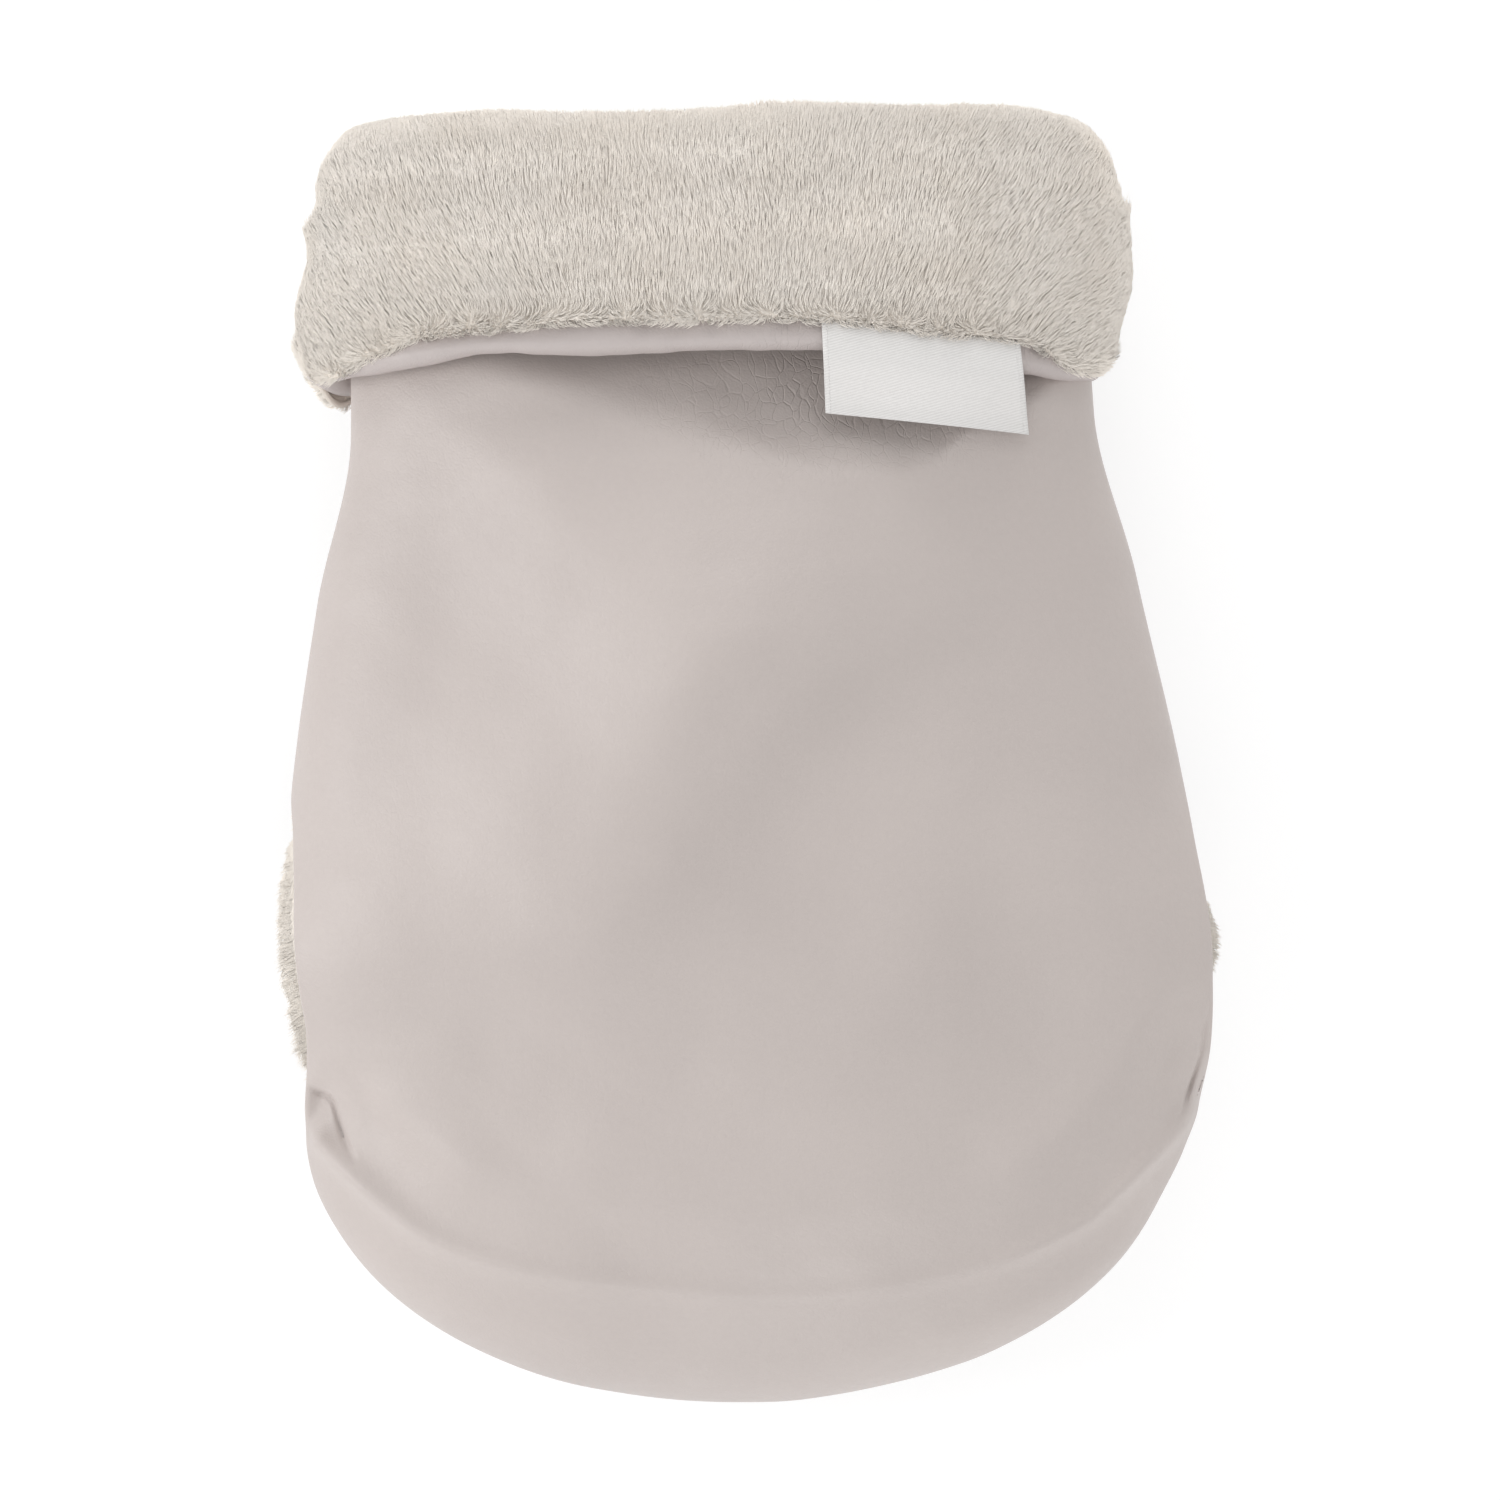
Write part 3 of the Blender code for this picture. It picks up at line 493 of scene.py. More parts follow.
def solid(name, outer, inner, material, closed=False):
    """A closed solid between two equal grids; closed ones go right round."""
    rows, columns = outer.shape[:2]
    size = rows * columns
    verts = np.concatenate([outer.reshape(-1, 3), inner.reshape(-1, 3)])
    quads = [patch(rows, columns, 0, closed), patch(rows, columns, size, closed, True)]
    first = np.arange(columns)
    for line, turn in ((first, False), (first + (rows - 1) * columns, True)):
        after = np.roll(line, -1) if closed else line[1:]
        line = line if closed else line[:-1]
        rim = np.stack([line, line + size, after + size, after], -1)
        quads.append(rim[:, ::-1] if turn else rim)
    if not closed:
        side = np.arange(rows) * columns
        for line, turn in ((side, True), (side + columns - 1, False)):
            rim = np.stack([line[:-1], line[:-1] + size, line[1:] + size, line[1:]], -1)
            quads.append(rim[:, ::-1] if turn else rim)
    quads = np.concatenate(quads)
    made = mesh_object(name, verts, quads, material)
    outward(made)
    return made


def outward(obj):
    """Faces turned to look out of the solid."""
    mesh = obj.data
    co = np.empty(len(mesh.vertices) * 3)
    mesh.vertices.foreach_get("co", co)
    co = co.reshape(-1, 3)
    mesh.calc_loop_triangles()
    tri = np.empty(len(mesh.loop_triangles) * 3, np.int32)
    mesh.loop_triangles.foreach_get("vertices", tri)
    a, b, c = co[tri.reshape(-1, 3)].transpose(1, 0, 2)
    if np.einsum("ij,ij->i", a, np.cross(b, c)).sum() < 0:
        mesh.flip_normals()


CLOTH = 0.0016


def softness(inside):
    """How much of the wadding and pile is left, this far in from a sewn edge."""
    return 1 - 0.45 * (1 - np.clip(inside / 0.08, 0, 1)) ** 4


def as_it_lies(grid, lies):
    """The faces of a grid: lies where it is given, or else only settled."""
    return settled(grid[..., :3]) if lies is None else lies[..., :3]


def padded_shell(name, grid, material, out=0.0, thick=SHELL, lies=None):
    """A padded panel whose edges are rounded; grid holds places and each one's distance in."""
    inside, face = grid[..., 3], as_it_lies(grid, lies)
    n = normals(face)
    out = out if np.ndim(out) else np.full(inside.shape, out)
    depth = thick * softness(inside)
    r = depth / 2
    near = np.clip(1 - inside / r, 0, 1)
    rounding = r * (1 - np.sqrt(np.clip(1 - near**2, 0, 1)))
    outer = face + n * (out * step(0, 0.012, inside) - rounding)[..., None]
    inner = face + n * (out * step(0, 0.012, inside) - depth + rounding)[..., None]
    return solid(name, outer, inner, material)


def lining(name, grid, material, lies=None):
    """The lining's backing cloth, the grid that its pile grows on and the pile's way out."""
    inside, face = grid[..., 3], as_it_lies(grid, lies)
    n = normals(face)
    first = ((SHELL + GAP) * softness(inside))[..., None]
    bumps = 0.0004 * ripple(face, 0.012, 5)[..., None]
    outer = face - n * first
    inner = face - n * (first + CLOTH + np.abs(bumps))
    return solid(name, outer, inner, material), inner, -n


# Pile: how many strands a piece holds, how much a strand strays, and how much clumps do together
PER_PIECE, SPREAD, CLUMP = 18000, 0.08, 0.30 * 0.24
VERTS_EACH = 7


def hairs(name, points, ns, comb, count, seed, length, radius,
          lift=0.30, weight=None, closed=False, trim=None):
    """Pile on a grid: closed tapering strands that leave along ns and lie over along comb."""
    made = np.random.default_rng(seed)
    rows, columns = points.shape[:2]
    nxt = np.roll(points, -1, 1) if closed else points[:, 1:]
    here = points if closed else points[:, :-1]
    area = np.linalg.norm(np.cross(here[1:] - here[:-1], nxt[:-1] - here[:-1]), axis=-1)
    if weight is not None:
        area = area * (weight[:-1] if closed else weight[:-1, :-1])
    chance = area.reshape(-1) / area.sum()
    cell = made.choice(len(chance), size=count, p=chance)
    i, j = cell // area.shape[1], cell % area.shape[1]
    k = (j + 1) % columns
    a, b = made.random(count)[:, None], made.random(count)[:, None]

    def pick(grid):
        near = grid[i, j] * (1 - a) * (1 - b) + grid[i, k] * (1 - a) * b
        return near + grid[i + 1, j] * a * (1 - b) + grid[i + 1, k] * a * b

    root, n, c = pick(points), pick(ns), pick(comb)
    n /= np.linalg.norm(n, axis=1, keepdims=True)
    c -= n * (c * n).sum(1, keepdims=True)
    c /= np.maximum(np.linalg.norm(c, axis=1, keepdims=True), 1e-9)
    across = np.cross(n, c)
    sway = 0.12 * ripple(root, 0.030, seed + 1) + CLUMP * ripple(root, 0.0050, seed + 2, 9)
    sway += made.normal(0, SPREAD, count)
    c = c * np.cos(sway)[:, None] + across * np.sin(sway)[:, None]
    stand = pick(lift[..., None]) if np.ndim(lift) else lift
    up = stand * (1 + 0.14 * ripple(root, 0.009, seed + 3) + made.normal(0, 0.12, count))[:, None]
    size = length * (1 + 0.10 * ripple(root, 0.010, seed + 4) + made.normal(0, 0.13, count))
    size = np.clip(size, 0.45 * length, 1.5 * length)[:, None]
    if trim is not None:
        size = size * pick(trim[..., None])
    first = n * (up + 0.20) + c * 0.85
    first /= np.linalg.norm(first, axis=1, keepdims=True)
    second = n * (up * 0.55 - 0.05) + c
    second /= np.linalg.norm(second, axis=1, keepdims=True)
    middle = root + first * size * 0.45
    tip = middle + second * size * 0.55
    side = np.cross(first, second + across * 0.01)
    side /= np.maximum(np.linalg.norm(side, axis=1, keepdims=True), 1e-9)
    other = np.cross(first, side)
    wide = radius * made.uniform(0.7, 1.25, count)[:, None]
    ring = []
    for base, share in ((root - n * 0.0006, 1.0), (middle, 0.8)):
        for turn in (0, 2 * math.pi / 3, 4 * math.pi / 3):
            ring.append(base + (side * math.cos(turn) + other * math.sin(turn)) * wide * share)
    verts = np.stack([*ring, tip], 1)
    from_core = [p - q for p, q in zip(ring, [root] * 3 + [middle] * 3)]
    own = np.concatenate([np.stack(from_core, 1), second[:, None]], 1)
    own /= np.maximum(np.linalg.norm(own, axis=-1, keepdims=True), 1e-9)
    shade = 0.26 * own + n[:, None] + (0, 0, 0.9)
    shade /= np.linalg.norm(shade, axis=-1, keepdims=True)
    quad = np.array([[0, 1, 4, 3], [1, 2, 5, 4], [2, 0, 3, 5]])
    tri = np.array([[2, 1, 0], [3, 4, 6], [4, 5, 6], [5, 3, 6]])
    pieces = []
    for number, begin in enumerate(range(0, count, PER_PIECE)):
        part = verts[begin : begin + PER_PIECE]
        base = (np.arange(len(part)) * VERTS_EACH)[:, None, None]
        made_piece = mesh_object(
            f"{name}_{number + 1}" if count > PER_PIECE else name,
            part.reshape(-1, 3),
            (quad[None] + base).reshape(-1, 4),
            fur,
            tris=(tri[None] + base).reshape(-1, 3),
            shading=shade[begin : begin + PER_PIECE].reshape(-1, 3),
        )
        pieces.append(made_piece)
    return pieces


# Materials


def nodes_of(name):
    made = bpy.data.materials.new(name)
    made.use_nodes = True
    tree = made.node_tree
    return made, tree, tree.nodes["Principled BSDF"]


def put(tree, node, inputs):
    """Values and links for a node's inputs, by name or number."""
    for key, value in inputs.items():
        if hasattr(value, "is_output"):
            tree.links.new(value, node.inputs[key])
        else:
            node.inputs[key].default_value = value


def add(tree, kind, inputs=(), **settings):
    """A new shader node of this kind."""
    node = tree.nodes.new("ShaderNode" + kind)
    for key, value in settings.items():
        setattr(node, key, value)
    put(tree, node, dict(inputs))
    return node


def noise(tree, place, scale, detail=3.0, rough=0.55):
    links = {"Vector": place, "Scale": scale, "Detail": detail, "Roughness": rough}
    return add(tree, "TexNoise", links).outputs["Fac"]


def ranged(tree, value, low=0.0, high=1.0, start=0.0, end=1.0):
    """The value, which runs from start to end, laid out from low to high."""
    inputs = {"Value": value, "From Min": start, "From Max": end, "To Min": low, "To Max": high}
    return add(tree, "MapRange", inputs).outputs["Result"]


def ramp(tree, value, stops):
    node = add(tree, "ValToRGB", {"Fac": value})
    node.color_ramp.elements[0].position, node.color_ramp.elements[1].position = stops[0][0], stops[-1][0]
    for place, _ in stops[1:-1]:
        node.color_ramp.elements.new(place)
    for element, (_, colour) in zip(node.color_ramp.elements, stops):
        element.color = (*colour, 1)
    return node.outputs["Color"]


def maths(tree, kind, a, b=None, c=None):
    links = {k: v for k, v in enumerate((a, b, c)) if v is not None}
    return add(tree, "Math", links, operation=kind).outputs[0]


def shared(tree, a, part, b):
    """This part of a and the rest of b."""
    return maths(tree, "ADD", maths(tree, "MULTIPLY", a, part), maths(tree, "MULTIPLY", b, 1 - part))


def bumped(tree, shader, layers):
    """Bump layers as (height socket, strength, distance), the last one on top."""
    last = None
    for height, strength, distance in layers:
        links = {"Height": height, "Strength": strength, "Distance": distance}
        if last:
            links["Normal"] = last
        last = add(tree, "Bump", links).outputs["Normal"]
    tree.links.new(last, shader.inputs["Normal"])


def place_of(tree):
    return add(tree, "TexCoord").outputs["Object"]


def crinkle(tree, place):
    """Fine crinkles, as a height, in the patch of the front that sinks under the cuff."""
    wander = add(tree, "TexNoise", {"Vector": place, "Scale": 45.0, "Detail": 2.0}).outputs["Color"]
    bent = add(tree, "Mix", {"Factor": 0.02, "A": place, "B": wander}, data_type="VECTOR").outputs["Result"]
    drawn = add(tree, "Mapping", {"Vector": bent, "Rotation": (0, 0, 0.5), "Scale": (1.0, 0.45, 1.0)})
    cells = add(tree, "TexVoronoi", {"Vector": drawn.outputs[0], "Scale": 260.0}, feature="DISTANCE_TO_EDGE")
    crease = ranged(tree, cells.outputs["Distance"], end=0.07)
    spot = add(tree, "Mapping", {"Vector": place, "Location": (-0.5, -3.6, -2.0), "Scale": (11, 30, 20)})
    far = add(tree, "VectorMath", {0: spot.outputs["Vector"]}, operation="LENGTH").outputs["Value"]
    worn = ranged(tree, far, start=1.0, end=0.2)
    return maths(tree, "SUBTRACT", 1.0, maths(tree, "MULTIPLY", worn, maths(tree, "SUBTRACT", 1.0, crease)))


def leatherette(name, light, dark):
    """Coated cloth: pebbled grain, fine wrinkles, broad patches of tone."""
    made, tree, shader = nodes_of(name)
    place = place_of(tree)
    broad = noise(tree, place, 9.0, 2.0)
    fine = noise(tree, place, 420.0, 3.0, 0.6)
    colour = ramp(tree, shared(tree, broad, 0.75, fine), [(0.30, dark), (0.70, light)])
    rough = ranged(tree, noise(tree, place, 160.0), 0.40, 0.56)
    put(tree, shader, {"Base Color": colour, "Roughness": rough, "Specular IOR Level": 0.42})
    grain = add(tree, "TexVoronoi", {"Vector": place, "Scale": 1150.0})
    lines = add(tree, "TexVoronoi", {"Vector": place, "Scale": 260.0}, feature="DISTANCE_TO_EDGE")
    crack = ranged(tree, lines.outputs["Distance"], end=0.12)
    bumped(
        tree,
        shader,
        [
            (noise(tree, place, 70.0, 2.0), 0.25, 0.0010),
            (crinkle(tree, place), 0.45, 0.0004),
            (crack, 0.12, 0.0002),
            (grain.outputs["Distance"], 0.22, 0.00025),
        ],
    )
    return made


def plush(name, light, dark, deep):
    """Fur fabric: pale fibres with darker clumps between."""
    made, tree, shader = nodes_of(name)
    place = place_of(tree)
    broad = noise(tree, place, 32.0, 3.0)
    fibre = noise(tree, place, 900.0, 2.0, 0.7)
    colour = ramp(tree, shared(tree, broad, 0.55, fibre), [(0.32, deep), (0.46, dark), (0.62, light)])
    put(tree, shader, {"Base Color": colour, "Roughness": 0.9, "Specular IOR Level": 0.15})
    put(tree, shader, {"Sheen Weight": 0.30, "Sheen Tint": (1.0, 0.95, 0.88, 1), "Sheen Roughness": 0.5})
    bumped(tree, shader, [(fibre, 0.4, 0.0004)])
    return made


SELVEDGE_IN, SELVEDGE_PITCH = 0.0017, 0.0011


def satin(name):
    """The label: a fine diagonal twill in white satin, on the label's own map."""
    made, tree, shader = nodes_of(name)
    uv = add(tree, "UVMap", uv_map="label").outputs["UV"]
    turned = add(tree, "Mapping", {"Vector": uv, "Rotation": (0, 0, math.radians(-70))})
    links = {"Scale": 365.0, "Distortion": 0.8, "Detail": 2.0, "Detail Scale": 30.0}
    links["Vector"] = turned.outputs["Vector"]
    twill = add(tree, "TexWave", links).outputs["Fac"]
    slub = noise(tree, place_of(tree), 900.0, 2.0)
    tones = [(0.25, (0.715, 0.700, 0.685)), (0.75, (0.835, 0.820, 0.805))]
    colour = ramp(tree, shared(tree, twill, 0.5, slub), tones)
    put(tree, shader, {"Base Color": colour, "Roughness": 0.42, "Sheen Weight": 0.2})
    across = add(tree, "SeparateXYZ", {0: uv})
    ends = maths(tree, "ABSOLUTE", maths(tree, "SUBTRACT", across.outputs["X"], LABEL_W / 2))
    line = maths(tree, "ABSOLUTE", maths(tree, "SUBTRACT", ends, LABEL_W / 2 - SELVEDGE_IN))
    line = ranged(tree, line, 1.0, 0.0, end=0.00035)
    dots = maths(tree, "SINE", maths(tree, "MULTIPLY", across.outputs["Y"], 2 * math.pi / SELVEDGE_PITCH))
    selvedge = maths(tree, "MULTIPLY", line, maths(tree, "MULTIPLY_ADD", dots, 0.5, 0.5))
    bumped(tree, shader, [(twill, 0.4, 0.00010), (selvedge, 0.7, 0.00025)])
    return made


def nickel(name):
    """Plated metal, slightly uneven in tone and gloss."""
    made, tree, shader = nodes_of(name)
    place = place_of(tree)
    colour = ramp(tree, noise(tree, place, 700.0), [(0.3, (0.52, 0.51, 0.50)), (0.7, (0.68, 0.67, 0.66))])
    rough = ranged(tree, noise(tree, place, 1500.0), 0.2, 0.36)
    put(tree, shader, {"Base Color": colour, "Roughness": rough, "Metallic": 1.0})
    bumped(tree, shader, [(noise(tree, place, 2500.0), 0.08, 0.0001)])
    return made


hide = leatherette("leatherette", (0.572, 0.513, 0.486), (0.520, 0.464, 0.441))
hem_hide = leatherette("hem_leatherette", (0.545, 0.490, 0.474), (0.498, 0.446, 0.433))
fur = plush("plush", (0.990, 0.930, 0.856), (0.978, 0.910, 0.828), (0.950, 0.872, 0.782))
backing = plush("plush_backing", (0.960, 0.895, 0.820), (0.940, 0.870, 0.790), (0.920, 0.840, 0.755))
label_cloth = satin("label_satin")
thread = plush("thread", (0.560, 0.505, 0.480), (0.520, 0.465, 0.440), (0.480, 0.425, 0.400))
metal = nickel("nickel")

# What a piece moves with and stands for


def on_pouch(piece):
    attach(piece, "pouch")


def over_fold(piece):
    """The piece's placing baked into its mesh; it is not attached to the pouch."""
    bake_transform(piece)


def declare(piece, move, nodes=()):
    """How the piece moves and the CAD nodes it stands for, which are hidden."""
    move(piece)
    if nodes:
        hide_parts(*nodes)


def runs(ends, counts):
    """Heights from the first of these ends to the last, with this many points from each end to the next."""
    pieces = [np.linspace(a, b, n)[:-1] for a, b, n in zip(ends, ends[1:], counts)]
    return np.concatenate([*pieces, ends[-1:]])


def lined(name, grid, move, count, seed, radius=0.00034, bare=None, lies=None):
    """A panel's lining: its backing cloth, and the pile on it that lies over towards the toe.

    bare is (distance from the middle, low y, high y) of the sides where no pile grows.
    """
    cloth, roots, inward = lining(f"{name}_lining_cloth", grid, backing, lies=lies)
    declare(cloth, move, [f"{name}_lining"])
    down = np.zeros_like(roots)
    down[..., 1] = -1
    weight = None
    if bare:
        side, low, high = bare
        x, y = roots[..., 0], roots[..., 1]
        weight = 1.0 - ((np.abs(x) > side) & (y > low) & (y < high))
    pile = f"{name}_lining_pile"
    for piece in hairs(pile, roots, inward, down, count, seed, length=0.0065, radius=radius, weight=weight):
        declare(piece, move)


# The front, from just under the cuff's roll to the tip of the toe

TOP, LINING_TOP = 0.428, 0.426
QUARTER = math.pi / 2
side_heights = runs([TOP, 0.375, 0.310, 0.150, TOE], [8, 52, 66, 56])[:-1]
toe_turns = np.r_[np.linspace(0, 1.50, 140), 1.515, 1.530, 1.545, 1.556, 1.563, 1.568, QUARTER - 0.0008]
front_grid = even(front_rows(side_heights, toe_turns), 291)
front = padded_shell("front_shell", front_grid, hide, lies=shaped(front_grid))
declare(front, on_pouch, ["outer_front_panel", "front_wadding"])

lining_turns = np.r_[np.linspace(0, QUARTER - 0.02, 34), QUARTER - 0.004]
lining_grid = even(front_rows(np.linspace(LINING_TOP, TOE, 70)[:-1], lining_turns), 81)
lining_lies = shaped(lining_grid, lead=0.006)
lined("front", lining_grid, on_pouch, 15000, 21, bare=(0.115, -0.170, -0.080), lies=lining_lies)

# The upper back, with its seam along the slit's upper end

back_grid = even(back_rows(runs([SLIT_TOP, 0.30, TOP], [34, 26])), 121)
back_y, back_inside = back_grid[..., 1], back_grid[..., 3]
back_grid[..., 3] = np.minimum(back_inside, back_y + MID - SLIT_TOP)
back_waves = 0.0003 * ripple(back_grid[..., :2], 0.05, 31) * step(0.0, 0.05, back_y + MID - TAB_END)
back = padded_shell("back_shell", back_grid, hide, back_waves, thick=0.0030)
declare(back, on_pouch, ["outer_back_panel", "back_hem_facing", "back_wadding"])

back_lining_grid = even(back_rows(np.linspace(TAB_END + 0.001, LINING_TOP, 46)), 81)
lined("back", back_lining_grid, on_pouch, 9000, 22)

# The toe's underside

under_turns = np.r_[np.linspace(0, 1.45, 60), 1.49, 1.52, 1.545, 1.56, QUARTER - 0.0008]
toe_grid = even(toe_back_rows(under_turns), 121)
toe = padded_shell("toe_shell", toe_grid, hide)
declare(toe, on_pouch, ["toe_back_panel", "toe_wadding"])

toe_lining_grid = even(toe_back_rows(np.linspace(0.004, QUARTER - 0.02, 40)), 61)
lined("toe", toe_lining_grid, on_pouch, 4000, 23, radius=0.00036, bare=(0.118, -0.160, 0.0))

# The closure flap, whose padded part is thick and whose tab is thin

TAB_THICK, TAB_STRAIGHT = 0.0029, FLAP_END + 0.012
flap_heights = runs([TOE + 0.0002, FLAP_END - 0.02, TAB_STRAIGHT, TAB_END], [44, 20, 20])
flap_grid = even(flap_rows(flap_heights), 121)
flap_y, flap_inside = flap_grid[..., 1], flap_grid[..., 3]
flap_grid[..., 3] = np.minimum(flap_inside, np.maximum(TAB_END - (flap_y + MID), 0))
pad = TAB_THICK + (SHELL - TAB_THICK) * (1 - step(FLAP_END - 0.014, FLAP_END + 0.003, flap_y + MID))
flap = padded_shell("flap_shell", flap_grid, hide, thick=pad)
declare(flap, over_fold, ["flap_outer", "flap_hem_facing", "flap_wadding"])

flap_lining_grid = even(flap_rows(np.linspace(TOE + 0.001, FLAP_END, 50)), 81)
lined("flap", flap_lining_grid, over_fold, 14000, 24, bare=(0.118, -MID, -0.108))

# The stitches along the tab's edge

STITCH_PITCH, STITCH_LONG, STITCH_RADIUS = 0.0036, 0.0027, 0.00030
SIX = np.arange(6)


def stitches(name, line, away):
    """A row of thread stitches along a line, half sunk in the face that looks along away."""
    run = np.r_[0, np.cumsum(np.linalg.norm(np.diff(line, axis=0), axis=1))]
    at = np.arange(STITCH_PITCH / 2, run[-1], STITCH_PITCH)
    middle = np.stack([np.interp(at, run, line[:, k]) for k in range(3)], -1)
    ahead = np.stack([np.interp(at + 1e-4, run, line[:, k]) for k in range(3)], -1) - middle
    ahead /= np.linalg.norm(ahead, axis=1, keepdims=True)
    side = np.cross(ahead, away)
    rows = [middle - ahead * STITCH_LONG / 2]
    for share, wide in ((-0.36, 0.75), (0.0, 1.0), (0.36, 0.75)):
        for turn in SIX * math.pi / 3:
            out = side * math.cos(turn) + np.array(away) * math.sin(turn)
            rows.append(middle + ahead * STITCH_LONG * share + out * STITCH_RADIUS * wide)
    rows.append(middle + ahead * STITCH_LONG / 2)
    verts = np.stack(rows, 1)
    this, after = 1 + SIX, 1 + (SIX + 1) % 6
    quads = np.concatenate([np.stack([this, after, 6 + after, 6 + this], 1) + 6 * k for k in (0, 1)])
    zero = np.zeros_like(SIX)
    tris = np.concatenate([np.stack([zero, after, this], 1), np.stack([12 + this, 12 + after, 19 + zero], 1)])
    base = (np.arange(len(at)) * len(rows))[:, None, None]
    quads, tris = (quads[None] + base).reshape(-1, 4), (tris[None] + base).reshape(-1, 3)
    made = mesh_object(name, verts.reshape(-1, 3), quads, thread, tris=tris)
    outward(made)
    return made


SEAM_IN = 0.0040
tab = np.linspace(TAB_STRAIGHT, TAB_END - 0.006, 30)
tab_side = np.stack([flap_edge(tab) - SEAM_IN, tab], -1)
tab_across = np.stack([np.linspace(-1, 1, 60) * (TAB_HALF - 0.0115), np.full(60, TAB_END - SEAM_IN)], -1)
tab_line = np.concatenate([tab_side * (-1, 1), tab_across, tab_side[::-1]])
tab_places = np.column_stack([tab_line[:, 0], tab_line[:, 1] - MID, flap_flat(tab_line[:, 1])])
tab_stitches = stitches("tab_stitches", tab_places, (0, 0, -1))
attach(tab_stitches, "flap")

# Pile that curls out of the side slits, over the flap's lips


def tuft(name, side, line, full, offsets, outs, comb, count, seed, length, radius):
    """Pile along a line, full giving its length: columns at offsets (x, z) that leave along outs (x, z)."""
    strip = np.stack([line + np.array([side * dx, 0, dz]) for dx, dz in offsets], 1)
    ways, lies = np.zeros_like(strip), np.zeros_like(strip)
    ways[..., 0] = side * np.array([x for x, _ in outs])
    ways[..., 2] = np.array([z for _, z in outs])
    lies[...] = (side * comb[0], comb[1], comb[2])
    trim = np.repeat(full[:, None], len(offsets), 1)
    return hairs(name, strip, ways, lies, count, seed, length, radius, lift=0.25, trim=trim)[0]


def lip_tuft(name, side, low, high, count, seed, reach):
    """Strands along one lip of the flap between these heights, fullest in the middle."""
    heights = np.linspace(low, high, 60)
    lip = flap_flat(heights) + flap_lip(heights)
    line = settled(np.stack([side * flap_edge(heights), heights - MID, lip], -1))
    full = np.sin(math.pi * np.linspace(0.04, 0.96, 60)) ** 0.25 * reach
    offsets = [(-0.0060, 0.0010), (-0.0030, 0.0022), (0.0002, 0.0018), (0.0008, 0.0004)]
    outs = [(0.15, 0.95), (0.35, 0.9), (0.7, 0.7), (0.95, 0.3)]
    made = tuft(name, side, line, full, offsets, outs, (1, -0.35, 0.1), count, seed, 0.0058, 0.00026)
    declare(made, over_fold)


def slit_tuft(name, side, low, high, count, seed):
    """Lining pile that stands out of the front's edge of a side slit."""
    heights = np.linspace(low, high, 60)
    edge = np.stack([side * half_width(heights), heights - MID, seam(heights) + 0.92 * gape(heights)], -1)
    line = settled(edge)
    line[:, 0] -= side * curve(LEFT_IN, edge[:, 1]) * (side < 0)
    full = np.sin(math.pi * np.linspace(0.03, 0.97, 60)) ** 0.4
    offsets = [(-0.0034, dz) for dz in (-0.0050, -0.0030, -0.0010)]
    outs = [(0.9, 0.1), (0.9, 0.4), (0.9, 0.7)]
    made = tuft(name, side, line, full, offsets, outs, (1, -0.5, 0), count, seed, 0.0062, 0.00024)
    declare(made, on_pouch)


lip_tuft("left_lip_pile", -1, 0.106, 0.206, 3800, 61, 1.05)
lip_tuft("right_lip_pile", 1, 0.142, 0.169, 1500, 62, 1.15)
lip_tuft("right_low_lip_pile", 1, 0.114, 0.131, 700, 63, 1.1)
lip_tuft("right_lip_edge_pile", 1, 0.104, 0.186, 2600, 66, 0.55)
lip_tuft("left_low_lip_pile", -1, 0.114, 0.146, 900, 65, 1.5)
slit_tuft("left_slit_pile", -1, 0.150, 0.226, 2600, 64)

# The cuff: plush and hem rings round the mouth


def section(heights, fine=721):
    """Closed loops of (x, z) round the pouch: the front from left to right, then the back."""
    front_half = front_side(heights, np.linspace(-1, 1, fine)[None, :])
    back_half = back_rows(heights, fine)[:, ::-1][:, 1:-1]
    return np.concatenate([front_half, back_half], 1)[..., [0, 2]]


def ring(profile, around=420):
    """Rows of places round the mouth, from (height, distance out) pairs."""
    loops = section([h for h, _ in profile])
    out = np.empty((len(profile), around, 3))
    for i, ((h, distance), loop) in enumerate(zip(profile, loops)):
        wrapped = np.vstack([loop, loop[:1]])
        run = np.r_[0, np.cumsum(np.linalg.norm(np.diff(wrapped, axis=0), axis=1))]
        q = np.linspace(0, run[-1], around, endpoint=False)
        x, z = np.interp(q, run, wrapped[:, 0]), np.interp(q, run, wrapped[:, 1])
        dx = np.roll(x, -1) - np.roll(x, 1)
        dz = np.roll(z, -1) - np.roll(z, 1)
        size = np.maximum(np.hypot(dx, dz), 1e-9)
        nx, nz = -dz / size, dx / size
        if (nx * x + nz * (z - MIDDLE[2])).sum() < 0:
            nx, nz = -nx, -nz
        out[i, :, 0], out[i, :, 1], out[i, :, 2] = x + nx * distance, h - MID, z + nz * distance
    return out


